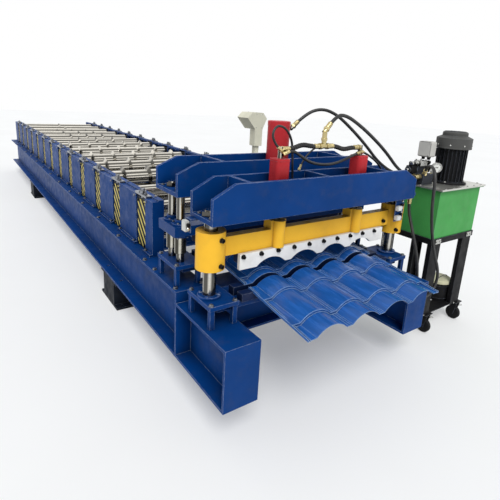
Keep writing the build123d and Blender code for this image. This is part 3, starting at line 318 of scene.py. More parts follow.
def coated_sheet(name):
    """Pre-painted gloss sheet with faint handling marks along its travel, a painted highlight on its folded
    edges and painted shade in its recesses.
    """
    material, tree, shader, place = start_material(name)
    stretched = add_node(tree, "ShaderNodeMapping", {"Vector": place, "Scale": (9, 1.2, 9)}).outputs["Vector"]
    streak = ramp(tree, noise(tree, stretched, 6, 5), 0.35, 0.7)
    blue = linear(30, 88, 162)
    body = blend(tree, streak, shade(blue, 0.82), shade(blue, 1.2))
    soft = soft_normal(tree, 0.004)
    # Painted highlight along the sheet's folded edges and steps.
    painted_fold_highlight = ramp(tree, edge_share(tree, soft), 0.015, 0.09, 0.0, 0.85)
    # Painted shade in the sheet's recesses.
    shaded = blend(tree, crevice_shade_mask(tree, SHEET_SHADE_REACH), shade(blue, 0.25), body)
    feed(tree, shader, {
        "Base Color": blend(tree, painted_fold_highlight, shaded, linear(176, 206, 240)),
        "Roughness": ramp(tree, streak, 0.0, 1.0, 0.2, 0.32),
        "Specular IOR Level": 0.3,
        "Normal": bump(tree, noise(tree, place, 14, 3), 0.1, 0.002, soft),
        "Coat Weight": 0.15,
        "Coat Roughness": 0.08,
    })
    return material


def hose_rubber(name):
    """Black hose cover with a fine woven grain and dusty patches."""
    material, tree, shader, place = start_material(name)
    weave = noise(tree, place, 620, 2)
    patch = ramp(tree, noise(tree, place, 22, 5), 0.42, 0.72)
    rubber = blend(tree, patch, linear(22, 22, 23), linear(50, 49, 48))
    feed(tree, shader, {
        "Base Color": rubber,
        "Roughness": ramp(tree, patch, 0.0, 1.0, 0.36, 0.62),
        "Normal": bump(tree, weave, 0.25, 0.0005),
    })
    return material


BLUE = linear(4, 58, 122)
RED = linear(194, 50, 56)
BLACK = linear(26, 26, 28)

# Colour, roughness, strength of the pale edges, which are partly wear and partly a painted highlight, grime,
# the edges' width in metres and, for some, the edges' colour.
PAINTS = {
    "machine_blue": (BLUE, 0.42, 0.7, 0.3),
    "block_black": (linear(22, 27, 36), 0.5, 0.2, 0.3),
    "bolt_black": (linear(20, 20, 22), 0.42, 0.15, 0.2, 0.0006),
    "dial_white": (linear(226, 226, 222), 0.4, 0.1, 0.1, 0.001),
    "enamel_red": (RED, 0.3, 0.3, 0.25, 0.0015),
    "housing_steel": (linear(52, 55, 62), 0.42, 0.5, 0.5),
    "safety_yellow": (linear(250, 190, 56), 0.36, 0.25, 0.15, 0.003, linear(255, 236, 190)),
    "blade_steel": (linear(244, 242, 236), 0.42, 0.2, 0.22, 0.0015, linear(240, 240, 240)),
    "die_dark": (linear(16, 34, 72), 0.45, 0.4, 0.3),
    "tank_green": (linear(76, 162, 84), 0.4, 0.35, 0.25),
    "motor_black": (BLACK, 0.45, 0.2, 0.25),
    "cowl_grey": (linear(84, 84, 82), 0.5, 0.25, 0.35),
    "box_grey": (linear(200, 198, 192), 0.45, 0.3, 0.25),
    "console_cream": (linear(228, 225, 204), 0.5, 0.2, 0.15),
}

# Colour, roughness, stain, then the grain's stretch, scale and depth, the painted reflection bands and how
# near other faces must stand to paint shade in crevices.
METALS = {
    "chrome_rolls": (linear(240, 235, 223), 0.2, 0.45, (1, 0.06, 0.06), 210, 0.08, ROLL_REFLECTION_BANDS, ROLL_SHADE_REACH),
    "chrome_posts": (linear(226, 222, 212), 0.14, 0.35, (0.06, 0.06, 1), 160, 0.05, POST_REFLECTION_BANDS),
    "bolt_steel": (linear(140, 143, 150), 0.3, 0.5),
    "bright_steel": (linear(200, 200, 196), 0.2, 0.2),
    "zinc_steel": (linear(160, 163, 168), 0.34, 0.45),
    "lid_steel": (linear(214, 214, 208), 0.36, 0.3),
    "brass_fittings": (linear(206, 190, 140), 0.28, 0.3),
}

MATERIALS = {
    **{name: painted_metal(name, *settings) for name, settings in PAINTS.items()},
    **{name: bare_metal(name, *settings) for name, settings in METALS.items()},
    "hazard_stripe": striped_paint("hazard_stripe"),
    "sheet_blue": coated_sheet("sheet_blue"),
    "hose_rubber": hose_rubber("hose_rubber"),
    "press_red": plated_beyond("press_red", RED, "X", 0.063),
    "cutter_red": plated_beyond("cutter_red", RED, "Z", 1.191),
    "plate_blue": plated_beyond("plate_blue", BLUE, "Z", 0.7895, "LESS_THAN"),
    "can_black": two_tones("can_black", BLACK, linear(206, 202, 170), 0.269),
}

NODE_MATERIALS = {
    **dict.fromkeys(("cutter_posts", "press_posts", "cutter_rods", "press_rod"), "chrome_posts"),
    "cutter_cylinders": "cutter_red",
    "press_cylinder": "press_red",
    "press_plate": "plate_blue",
    "oil_can": "can_black",
}


def dress_nodes():
    """Every CAD node takes the material of its slot, or one of its own."""
    for part in frame["record"]["subparts"]:
        name = part["node"]
        material = MATERIALS[NODE_MATERIALS.get(name, part["material_slot"])]
        for slot in frame["nodes"][name].material_slots:
            slot.link = "OBJECT"
            slot.material = material


# Light, floor and backdrop

SUN_STRENGTH = 1.9
SUN_ANGLE = 0.5
SUN_TRAVEL = (0.28, 0.56, -0.78)
SKY_STRENGTH = 0.62
FLOOR_SIZE = 60
FLOOR_GLOW = 0.25


def backdrop_share(tree):
    """One for camera, glossy and transmission rays, so that these see the white backdrop."""
    path = add_node(tree, "ShaderNodeLightPath").outputs
    seen = compute(tree, "MAXIMUM", path["Is Camera Ray"], path["Is Glossy Ray"])
    return compute(tree, "MAXIMUM", seen, path["Is Transmission Ray"])


def make_world():
    world = bpy.data.worlds.new("studio")
    bpy.context.scene.world = world
    world.use_nodes = True
    tree = world.node_tree
    tree.nodes.clear()
    lit = add_node(tree, "ShaderNodeBackground", {"Color": (0.93, 0.96, 1, 1), "Strength": SKY_STRENGTH})
    white = add_node(tree, "ShaderNodeBackground", {"Color": (1, 1, 1, 1), "Strength": 1.0})
    mixed = add_node(tree, "ShaderNodeMixShader",
                     {0: backdrop_share(tree), 1: lit.outputs[0], 2: white.outputs[0]})
    add_node(tree, "ShaderNodeOutputWorld", {"Surface": mixed.outputs[0]})


def make_floor():
    mesh = bpy.data.meshes.new("floor")
    half = FLOOR_SIZE / 2
    mesh.from_pydata([(-half, -half, 0), (half, -half, 0), (half, half, 0), (-half, half, 0)], [],
                     [(0, 1, 2, 3)])
    floor = add_object("floor", mesh)
    material, tree, shader, place = start_material("floor")
    pale = ramp(tree, noise(tree, place, 0.6, 4), 0.3, 0.7)
    feed(tree, shader, {"Base Color": blend(tree, pale, (0.88, 0.88, 0.87, 1), (0.92, 0.92, 0.91, 1)),
                        "Roughness": 0.9})
    glow = add_node(tree, "ShaderNodeEmission", {"Color": (1, 1, 1, 1), "Strength": 1.0})
    share = compute(tree, "MULTIPLY", backdrop_share(tree), FLOOR_GLOW)
    mixed = add_node(tree, "ShaderNodeMixShader", {0: share, 1: shader.outputs[0], 2: glow.outputs[0]})
    feed(tree, tree.nodes["Material Output"], {"Surface": mixed.outputs[0]})
    mesh.materials.append(material)


def make_light():
    data = bpy.data.lights.new("sun", "SUN")
    data.energy = SUN_STRENGTH
    data.angle = SUN_ANGLE
    sun = add_object("sun", data)
    sun.rotation_euler = Vector(SUN_TRAVEL).to_track_quat("-Z", "Y").to_euler()


# Hoses: the corners of each route in millimetres, with heights above the beams' underside

FOOT_HEIGHT = 190
HOSE_DIAMETER = 0.018

PRESS_HOSE = [(103, 615, 1125), (166, 594, 1192), (251, 564, 1225), (339, 534, 1200), (430, 502, 1131),
              (548, 463, 1026), (640, 430, 925), (725, 378, 862), (800, 330, 845), (862, 330, 845)]
CUTTER_FEED = [(14, 266, 1138), (72, 270, 1200), (152, 276, 1200), (270, 286, 1152), (400, 296, 1087),
               (545, 305, 1001), (690, 314, 893), (790, 285, 845), (862, 285, 845)]
LEFT_HOSE = [(-250, 265, 1041), (-200, 265, 1041), (-140, 265, 1062), (-80, 265, 1051), (-30, 265, 1051)]
RIGHT_HOSE = [(30, 265, 1051), (78, 265, 1051), (140, 265, 1031), (202, 265, 1041), (250, 265, 1041)]
RETURN_HOSE = [(895, 265, 869), (846, 224, 926), (793, 152, 930), (752, 104, 880), (757, 102, 745),
               (774, 98, 625), (806, 91, 505), (856, 88, 392), (912, 86, 306), (938, 86, 222),
               (902, 87, 140), (815, 88, 116), (740, 90, 164), (718, 93, 260), (712, 108, 385),
               (704, 142, 490), (707, 184, 590), (715, 222, 670), (715, 222, 735)]
SAGGING_HOSE = [(-256, 246, 1024), (-215, 247, 1040), (-160, 252, 1012), (-95, 258, 978), (-16, 261, 960),
                (74, 261, 960), (150, 260, 978), (205, 256, 1002), (256, 250, 1016)]
LOOPED_HOSE = [(-276, 256, 1040), (-306, 258, 1064), (-326, 262, 1110), (-292, 270, 1150), (-232, 280, 1134),
               (-184, 292, 1084), (-164, 302, 1020), (-152, 308, 940), (-140, 310, 850), (-136, 310, 786)]
CHANNEL_HOSE = [(282, 268, 1020), (322, 272, 1008), (385, 278, 982), (455, 284, 946), (515, 290, 892),
                (546, 296, 840), (550, 300, 786)]
PLATE_HOSE = [(12, 279, 1048), (16, 318, 1046), (-10, 346, 1014), (-48, 350, 972), (-66, 350, 934)]

# Piece, route, diameter, length, the CAD node that it stands for, and whether a spiral guards it.
HOSES = [
    ("press_hose_rubber", PRESS_HOSE, HOSE_DIAMETER, 0.970, "hose_press", False),
    ("cutter_feed_rubber", CUTTER_FEED, HOSE_DIAMETER, 0.967, "hose_cutter_feed", False),
    ("left_cylinder_rubber", LEFT_HOSE, HOSE_DIAMETER, 0.223, "hose_left_cylinder", True),
    ("right_cylinder_rubber", RIGHT_HOSE, HOSE_DIAMETER, 0.222, "hose_right_cylinder", True),
    ("return_hose_rubber", RETURN_HOSE, HOSE_DIAMETER, 1.778, "hose_return", False),
    ("sagging_hose", SAGGING_HOSE, 0.014, 0.536, None, False),
    ("looped_hose", LOOPED_HOSE, 0.011, 0.564, None, False),
    ("channel_hose", CHANNEL_HOSE, 0.012, 0.383, None, False),
    ("plate_hose", PLATE_HOSE, 0.009, 0.181, None, False),
]


def on_floor(route):
    """Route in metres, with its heights from the floor."""
    return [Vector((x, y, z + FOOT_HEIGHT)) / 1000 for x, y, z in route]


def route_curve(name, points, resolution):
    """Curve with a smooth spline along the corners of a route."""
    data = bpy.data.curves.new(name, "CURVE")
    data.dimensions = "3D"
    data.resolution_u = resolution
    spline = data.splines.new("NURBS")
    spline.points.add(len(points) - 1)
    for corner, point in zip(spline.points, points):
        corner.co = (*point, 1)
    spline.order_u = 3
    spline.use_endpoint_u = True
    return data


def make_hose(name, route, diameter, length, node, spiral):
    """Rubber hose on a smooth spline through its route's corners, with a ferrule at each end."""
    points = on_floor(route)
    data = route_curve(name, points, 10)
    data.bevel_depth = diameter / 2
    data.bevel_resolution = 5
    data.use_fill_caps = True
    cord = add_object(name, data)
    data.materials.append(MATERIALS["hose_rubber"])
    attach(cord, "frame")
    if node:
        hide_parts(node)
    line = route_line(points)
    pieces = [hose_ferrules(name, line, diameter)]
    if spiral:
        pieces.append(hose_spiral(name, line, diameter))


# Mesh helpers. Places are in metres; profiles, outlines, bolt sizes and rounded edges are in millimetres.

SMOOTH_ANGLE = radians(38)


def aim(place, direction):
    """Placement whose Z axis runs from the place along the direction."""
    turn = Vector(direction).to_track_quat("Z", "Y").to_matrix().to_4x4()
    return Matrix.Translation(place) @ turn


def join_rings(mesh, rings, closed=True):
    """Faces between each ring of vertices and the next."""
    for before, after in zip(rings, rings[1:]):
        count = len(before)
        for n in range(count if closed else count - 1):
            beside = (n + 1) % count
            mesh.faces.new((before[n], before[beside], after[beside], after[n]))


def add_turning(mesh, place, direction, profile, sides):
    """Turned form: rings of (radius, height) from the place along the direction. Six sides make a hexagon."""
    seat = aim(place, direction)
    rings = []
    for radius, height in profile:
        ring = []
        for n in range(sides if radius else 1):
            angle = 2 * pi * n / sides
            corner = Vector((radius * cos(angle), radius * sin(angle), height)) / 1000
            ring.append(mesh.verts.new(seat @ corner))
        rings.append(ring)
    for low, high in zip(rings, rings[1:]):
        for n in range(sides):
            after = (n + 1) % sides
            if len(low) == 1:
                mesh.faces.new((low[0], high[after], high[n]))
            elif len(high) == 1:
                mesh.faces.new((low[n], low[after], high[0]))
            else:
                mesh.faces.new((low[n], low[after], high[after], high[n]))


def add_block(mesh, low, high, edge):
    """Block between two corners with its edges rounded off."""
    low, high = Vector(low), Vector(high)
    seat = Matrix.Translation((low + high) / 2) @ Matrix.Diagonal((*(high - low), 1))
    block = bmesh.ops.create_cube(mesh, size=1, matrix=seat)
    edges = list({side for corner in block["verts"] for side in corner.link_edges})
    bmesh.ops.bevel(mesh, geom=edges, offset=edge / 1000, segments=2, affect="EDGES")


def add_slab(mesh, outline, place, normal, thickness):
    """Flat plate with an outline in its own plane, from the place along its normal."""
    seat = aim(place, normal)
    base, top = [[mesh.verts.new(seat @ (Vector((x, y, z)) / 1000)) for x, y in outline]
                 for z in (0, thickness)]
    faces = [mesh.faces.new(base[::-1]), mesh.faces.new(top)]
    join_rings(mesh, [base, top])
    rim = list({side for face in faces for side in face.edges})
    bmesh.ops.bevel(mesh, geom=rim, offset=0.0008, segments=1, affect="EDGES")


# Profiles of bolts, as shares of the thread's diameter.
WASHER = ((1.1, 0), (1.1, 0.12), (1.04, 0.17), (0, 0.17))
HEX_HEAD = ((0.92, 0.15), (0.92, 0.68), (0.78, 0.8), (0, 0.82))
SOCKET_HEAD = ((0.76, 0), (0.76, 0.9), (0.68, 1), (0.44, 1))
SOCKET = ((0.44, 1), (0.44, 0.45), (0, 0.45))
STUD_WASHER = ((1.1, 0), (1.1, 0.15), (0, 0.15))
STUD_NUT = ((0.92, 0.15), (0.92, 0.85), (0.8, 0.97), (0, 0.97))


def scaled(profile, size):
    return [(radius * size, height * size) for radius, height in profile]


def add_hex_bolt(mesh, place, direction, size):
    """Hexagon head with a washer under it; size is the thread's diameter."""
    add_turning(mesh, place, direction, scaled(WASHER, size), 18)
    add_turning(mesh, place, direction, scaled(HEX_HEAD, size), 6)


def add_socket_bolt(mesh, place, direction, size):
    """Cylinder head with a hollow for its key; size is the thread's diameter."""
    add_turning(mesh, place, direction, scaled(SOCKET_HEAD, size), 18)
    add_turning(mesh, place, direction, scaled(SOCKET, size), 6)


def add_stud(mesh, place, direction, size, length):
    """Threaded end with a nut and washer on it."""
    add_turning(mesh, place, direction, scaled(STUD_WASHER, size), 18)
    add_turning(mesh, place, direction, scaled(STUD_NUT, size), 6)
    profile = []
    height = 0.9 * size
    while height < length:
        profile += [(0.5 * size, height), (0.43 * size, height + 0.08 * size)]
        height += 0.16 * size
    profile += [(0.4 * size, length), (0, length)]
    add_turning(mesh, place, direction, profile, 12)


def grid(xs, ys, *zs):
    """Every place with one of the coordinates from each list."""
    return [(x, y, z) for x in xs for y in ys for z in zs]


def around(centre, radius, count, start):
    """Places on a level circle, each with its direction from the centre."""
    places = []
    for n in range(count):
        angle = radians(start + 360 * n / count)
        away = Vector((cos(angle), sin(angle), 0))
        places.append((Vector(centre) + away * radius, away))
    return places


def make_piece(name, mesh, material, body="frame"):
    """Object made from the mesh, smooth but for its sharp edges, riding on its body."""
    bmesh.ops.recalc_face_normals(mesh, faces=mesh.faces)
    data = bpy.data.meshes.new(name)
    mesh.to_mesh(data)
    mesh.free()
    data.polygons.foreach_set("use_smooth", [True] * len(data.polygons))
    data.set_sharp_from_angle(angle=SMOOTH_ANGLE)
    piece = add_object(name, data)
    data.materials.append(MATERIALS[material])
    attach(piece, body)
    return piece


def hex_bolts(name, size, rows, material="bolt_steel"):
    """Like hexagon bolts as one piece; each row is a direction and its places."""
    mesh = bmesh.new()
    for direction, places in rows:
        for place in places:
            add_hex_bolt(mesh, place, direction, size)
    make_piece(name, mesh, material)


def turnings(name, material, profile, places, direction, sides):
    """Like turned forms as one piece."""
    mesh = bmesh.new()
    for place in places:
        add_turning(mesh, place, direction, profile, sides)
    make_piece(name, mesh, material)


def blocks(name, material, edge, *corners):
    """Blocks as one piece, each between its two corners."""
    mesh = bmesh.new()
    for low, high in corners:
        add_block(mesh, low, high, edge)
    make_piece(name, mesh, material)


# Pieces along the hoses


def route_line(points):
    """Points of the smooth line through a hose route, read from its own spline."""
    data = route_curve("route", points, 24)
    holder = bpy.data.objects.new("route", data)
    line = bpy.data.meshes.new_from_object(holder)
    places = [vertex.co.copy() for vertex in line.vertices]
    bpy.data.objects.remove(holder)
    bpy.data.curves.remove(data)
    bpy.data.meshes.remove(line)
    return places


def line_length(places):
    return sum((after - before).length for before, after in zip(places, places[1:]))


def walk(places, distance):
    """Place and direction at a distance along the line."""
    for before, after in zip(places, places[1:]):
        step = (after - before).length
        if distance <= step:
            return before.lerp(after, distance / step), (after - before).normalized()
        distance -= step
    return places[-1].copy(), (places[-1] - places[-2]).normalized()


# Ferrule of the thickest hoses; the others have theirs in proportion.
FERRULE_RADIUS = 9
FERRULE_LENGTH = 34


def add_ferrule(mesh, place, direction, radius, length):
    """Crimped sleeve over a hose's end with its union nut, from the end along the hose."""
    sleeve = [(0, -4), (radius * 1.3, -4), (radius * 1.3, 1)]
    for n in range(5):
        height = length * (0.12 + 0.17 * n)
        sleeve += [(radius * 1.42, height), (radius * 1.42, height + length * 0.1),
                   (radius * 1.28, height + length * 0.13)]
    sleeve += [(radius * 1.36, length * 0.95), (radius * 1.1, length), (radius * 0.9, length)]
    add_turning(mesh, place, direction, sleeve, 20)
    nut = [(radius * 1.2, 0), (radius * 1.75, 1), (radius * 1.75, 12), (radius * 1.5, 14), (radius * 0.9, 14)]
    add_turning(mesh, place, -Vector(direction), nut, 6)


def hose_ferrules(name, line, diameter):
    """Ferrules and union nuts at both ends of a hose."""
    mesh = bmesh.new()
    scale = diameter / HOSE_DIAMETER
    for end, inner in ((line[0], line[1]), (line[-1], line[-2])):
        add_ferrule(mesh, end, inner - end, FERRULE_RADIUS * scale, FERRULE_LENGTH * scale)
    return make_piece(name + "_ferrules", mesh, "brass_fittings")


# Spiral guard in metres: free length at each end, pitch, half width and thickness of its band.
GUARD_MARGIN = 0.040
GUARD_PITCH = 0.013
GUARD_STRAND = 0.0042
GUARD_THICKNESS = 0.0022
GUARD_STEPS = 14


def hose_spiral(name, line, diameter):
    """Spiral guard wound round a short hose."""
    mesh = bmesh.new()
    radius = diameter / 2 + 0.0006
    wound = line_length(line) - 2 * GUARD_MARGIN
    steps = int(wound / GUARD_PITCH * GUARD_STEPS)
    rings = []
    for n in range(steps + 1):
        reach = wound * n / steps
        seat = aim(*walk(line, GUARD_MARGIN + reach))
        angle = 2 * pi * reach / GUARD_PITCH
        centre = Vector((cos(angle), sin(angle), 0))
        rings.append([mesh.verts.new(seat @ (centre * (radius + out) + UP * along)) for out, along in
                      ((0, -GUARD_STRAND), (GUARD_THICKNESS, -GUARD_STRAND * 0.6),
                       (GUARD_THICKNESS, GUARD_STRAND * 0.6), (0, GUARD_STRAND))])
    join_rings(mesh, rings, closed=False)
    return make_piece(name + "_spiral", mesh, "hose_rubber")


def tee_body():
    """Run and branch of the tee between the cutter cylinders' hoses, with its hexagon collars."""
    mesh = bmesh.new()
    middle = (0, POST_Y, 1.241)
    run = [(12, 0), (12, 16), (15.5, 16.5), (15.5, 29.5), (12.5, 30), (0, 30)]
    branch = [(12, 0), (12, 26), (15, 26.5), (15, 40), (12, 41), (12, 73.5), (0, 73.5)]
    for away, profile in ((LEFT, run), (RIGHT, run), (UP, branch)):
        add_turning(mesh, middle, away, profile, 24)
    make_piece("tee_body", mesh, "brass_fittings")


# Detail pieces of the machine

STATION_PITCH = 0.465
STATION_YS = [1.110 + STATION_PITCH * n for n in range(13)]
BEAM_TOP = 0.540
FOOT_STRIP_TOP = 0.5545
TIE_TOP = 0.8705
CAP_TOP = 0.876
CUTTER_BASE_TOP = 0.590
PRESS_BASE_TOP = 0.648
CUTTER_FLOOR_TOP = 0.962
PRESS_FLOOR_TOP = 1.010
PLATE_TOP = 0.840
PLATE_BOTTOM = 0.790
POST_XS = (-0.617, 0.617)
POST_Y = 0.265
PRESS_POST_YS = (0.560, 0.655)
PRESS_Y = 0.622
BLADE_FACE = 0.222
BLADE_BOLT_XS = [-0.472 + 0.0987 * n for n in range(10)]
BLADE_BOLT_Z = 0.763
SLEEVE_FACE = 0.0645


def blade_bolts():
    """Row of black socket bolts that hold the blade to its holder."""
    mesh = bmesh.new()
    for x in BLADE_BOLT_XS:
        place = Vector((x, BLADE_FACE, BLADE_BOLT_Z))
        add_turning(mesh, place, FRONT, [(11.5, 0), (11.5, 1.5), (10.5, 2), (0, 2)], 18)
        add_socket_bolt(mesh, place + FRONT * 0.0015, FRONT, 11)
    make_piece("blade_bolts", mesh, "bolt_black", "cutter")


def sleeve_bolts():
    """Clamp bolts in the yellow sleeves, turned to the front corners, and one in the yoke's right end."""
    mesh = bmesh.new()
    left, right = POST_XS
    for x, z, turn in ((left, 0.866, 14), (left, 0.750, 14), (right, 0.750, -22)):
        away = Vector((sin(radians(turn)), -cos(radians(turn)), 0))
        place = Vector((x, POST_Y, z)) + away * SLEEVE_FACE
        add_turning(mesh, place, away, [(11, 0), (11, 2), (9, 3), (0, 3)], 18)
        add_socket_bolt(mesh, place + away * 0.002, away, 13)
    add_turning(mesh, (0.508, 0.241, 0.806), FRONT, [(11, 0), (11, 3), (0, 3)], 18)
    add_socket_bolt(mesh, (0.508, 0.239, 0.806), FRONT, 13)
    make_piece("sleeve_bolts", mesh, "bolt_black", "cutter")


def beside_stations(step):
    """Places along the machine on both sides of each station's middle."""
    return [y + side * step for y in STATION_YS for side in (-1, 1)]


def stand_bolts():
    """Bolts along the foot strips and tie strips, and at the top of the panels beside each gap."""
    ys = beside_stations(0.100)
    hex_bolts("foot_bolts", 10, [(UP, grid((-0.623, 0.623), ys, FOOT_STRIP_TOP))])
    hex_bolts("tie_bolts", 8, [(UP, grid((-0.561, 0.561), ys, TIE_TOP))])
    ys = beside_stations(0.094)
    hex_bolts("panel_bolts", 8, [(LEFT, grid((-0.6145,), ys, 0.846)), (RIGHT, grid((0.6145,), ys, 0.846))])


def cover_screws():
    """Four socket screws in each striped cover."""
    mesh = bmesh.new()
    for x, away in ((-0.6078, LEFT), (0.6078, RIGHT)):
        for place in grid((x,), beside_stations(0.048), 0.562, 0.823):
            add_socket_bolt(mesh, place, away, 7)
    make_piece("cover_screws", mesh, "bolt_black")


def screw_studs():
    """Threaded studs beside each adjusting screw, with their nuts."""
    mesh = bmesh.new()
    for place in grid((-0.596, 0.596), beside_stations(0.040), CAP_TOP):
        add_stud(mesh, place, UP, 10, 26)
    make_piece("cap_studs", mesh, "bolt_steel")


def plate_collars():
    """Bolted collar round each guide bush, above and below the press's moving plate."""
    mesh = bmesh.new()
    bolts = bmesh.new()
    for away, z in ((UP, PLATE_TOP), (DOWN, PLATE_BOTTOM)):
        for place in grid(POST_XS, PRESS_POST_YS, z):
            add_turning(mesh, place, away, [(43.5, -1), (43.5, 8), (42, 9.5), (28.5, 9.5)], 40)
            for bolt, _ in around(Vector(place) + away * 0.009, 0.0362, 4, 45):
                add_socket_bolt(bolts, bolt, away, 6.5)
    make_piece("bush_collars", mesh, "machine_blue", "press")
    make_piece("bush_collar_bolts", bolts, "bolt_steel", "press")


def base_bolts():
    """Foot flange with four bolts round each cutter post, and corner bolts of the base plates."""
    flanges = bmesh.new()
    for x in POST_XS:
        add_turning(flanges, (x, POST_Y, 0.589), UP, [(52, 0), (52, 12), (50, 14), (30.2, 14), (30.2, 0)], 40)
        for place, _ in around((x, POST_Y, 0.603), 0.041, 4, 45):
            add_hex_bolt(flanges, place, UP, 7)
    make_piece("post_flanges", flanges, "machine_blue")
    xs = (-0.656, -0.538, 0.538, 0.656)
    corners = grid(xs, (0.175, 0.358), CUTTER_BASE_TOP) + grid(xs, (0.515, 0.705), PRESS_BASE_TOP)
    hex_bolts("base_bolts", 11, [(UP, corners)])


def beam_bolts():
    """Bolts through the beams' top flanges, along the stands and at the press."""
    places = grid((-0.668, 0.668), [0.905 + STATION_PITCH * n for n in range(14)], BEAM_TOP)
    places += grid((-0.671, -0.530, 0.530, 0.671), (0.495, 0.755), BEAM_TOP)
    hex_bolts("flange_bolts", 12, [(UP, places)])


def portal_bolts():
    """Bolts on the floors of the two portal beams, round the posts' ends."""
    xs = (-0.648, -0.560, 0.560, 0.648)
    places = grid(xs, (0.215, 0.315), CUTTER_FLOOR_TOP) + grid(xs, (0.525, 0.700), PRESS_FLOOR_TOP)
    hex_bolts("portal_bolts", 9, [(UP, places)])


# Hydraulic unit

MOTOR = Vector((1.165, 0.262, 0))
LID_TOP = 0.985
COWL_BOTTOM = 1.210
COWL_RADIUS = 0.1075
CROWN_TOP = 1.316
CASTER_XS = (0.970, 1.333)
CASTER_YS = (0.145, 0.485)
CAN = Vector((1.260, 0.250, 0))
GAUGE_PLACE = Vector((1.035, 0.276, 1.087))
GAUGE_FACING = Vector((-1, -1, 0)).normalized()


def motor_foot():
    """Mounting flange of the motor with its bolts."""
    foot = MOTOR + UP * LID_TOP
    flange = [(112, 0), (112, 10), (109, 13), (91.5, 13), (91.5, 1)]
    turnings("motor_foot", "motor_black", flange, [foot], UP, 48)
    places = [place for place, _ in around(foot + UP * 0.012, 0.101, 4, 22)]
    hex_bolts("motor_foot_bolts", 8.5, [(UP, places)], "bright_steel")


def cowl_details():
    """Air grille of concentric rings and spokes on the cowl, a rolled lower lip and fixing screws."""
    grille = bmesh.new()
    top = MOTOR + UP * CROWN_TOP
    for n in range(6):
        radius = 14 + 9.5 * n
        add_turning(grille, top, UP, [(radius - 1.8, -1), (radius - 1.5, 1.6), (radius + 1.5, 1.6),
                                      (radius + 1.8, -1)], 48)
    for _, away in around(top, 0, 8, 10):
        aside = UP.cross(away) * 0.0018
        spoke = [[grille.verts.new(top + away * reach + aside * edge + UP * lift) for edge in (-1, 1)]
                 for reach, lift in ((0.008, -0.001), (0.008, 0.002), (0.064, 0.002), (0.064, -0.001))]
        join_rings(grille, spoke, closed=False)
    make_piece("cowl_grille", grille, "motor_black")
    lip = [(107.5, 9), (109.5, 7), (110, 4), (109.5, 1), (107.5, -1)]
    turnings("cowl_lip", "cowl_grey", lip, [MOTOR + UP * COWL_BOTTOM], UP, 64)
    screws = bmesh.new()
    for place, away in around(MOTOR + UP * (COWL_BOTTOM + 0.022), COWL_RADIUS, 8, 20):
        add_turning(screws, place, away, [(5.2, 0), (5.2, 2), (4, 3.4), (0, 3.6)], 16)
    make_piece("cowl_screws", screws, "bright_steel")


def terminal_details():
    """Lid, corner screws and cable glands of the motor's terminal box."""
    blocks("terminal_lid", "box_grey", 4, ((0.9585, 0.2925, 1.1515), (0.9665, 0.3775, 1.2465)))
    turnings("terminal_screws", "bright_steel", [(4.2, 0), (4.2, 1), (3, 2.2), (0, 2.2)],
             grid((0.9588,), (0.300, 0.370), 1.160, 1.238), LEFT, 14)
    glands = bmesh.new()
    for y in (0.313, 0.351):
        place = (0.990, y, 1.1505)
        add_turning(glands, place, DOWN, [(12.5, 0), (12.5, 6), (11, 7)], 6)
        add_turning(glands, place, DOWN, [(10.5, 6), (10.5, 14), (8.5, 18), (4.5, 19)], 20)
    make_piece("terminal_glands", glands, "bolt_black")


def tank_details():
    """Lid bolts, rim below the lid, angle frame and leg clips under the tank, breather and level glass."""
    places = grid([0.905 + 0.0826 * n for n in range(6)], (0.1165, 0.5135), LID_TOP)
    places += grid((0.8665, 1.3565), [0.160 + 0.102 * n for n in range(4)], LID_TOP)
    hex_bolts("lid_bolts", 6, [(UP, places)], "bright_steel")
    blocks("tank_rim", "tank_green", 1,
           ((0.864, 0.114, 0.969), (1.359, 0.1295, 0.9748)),
           ((0.864, 0.5005, 0.969), (1.359, 0.516, 0.9748)),
           ((0.864, 0.1295, 0.969), (0.8795, 0.5005, 0.9748)),
           ((1.3435, 0.1295, 0.969), (1.359, 0.5005, 0.9748)))
    blocks("tank_frame", "motor_black", 1,
           ((0.874, 0.1235, 0.630), (1.349, 0.1295, 0.668)),
           ((0.874, 0.5005, 0.630), (1.349, 0.5065, 0.668)),
           ((0.8735, 0.1235, 0.630), (0.8795, 0.5065, 0.668)),
           ((1.3435, 0.1235, 0.630), (1.3495, 0.5065, 0.668)),
           ((0.876, 0.126, 0.630), (1.347, 0.168, 0.636)),
           ((0.876, 0.462, 0.630), (1.347, 0.504, 0.636)))
    clips = bmesh.new()
    for x in (0.930, 1.293):
        add_block(clips, (x - 0.028, 0.1185, 0.634), (x + 0.028, 0.1237, 0.664), 1.2)
        for step in (-0.016, 0.016):
            add_hex_bolt(clips, (x + step, 0.1187, 0.649), FRONT, 7)
    make_piece("leg_clips", clips, "bright_steel")
    breather = [(30, 0), (30, 6), (21, 8), (21, 26), (29, 28), (31, 34), (31, 46), (27, 52), (0, 54)]
    turnings("tank_breather", "bright_steel", breather, [(1.290, 0.440, LID_TOP)], UP, 32)
    glass = bmesh.new()
    add_block(glass, (1.3432, 0.280, 0.760), (1.3500, 0.306, 0.900), 2)
    for z in (0.774, 0.886):
        add_turning(glass, (1.3495, 0.293, z), RIGHT, [(11, 0), (11, 6), (8, 9), (0, 9)], 6)
    make_piece("level_gauge", glass, "bright_steel")


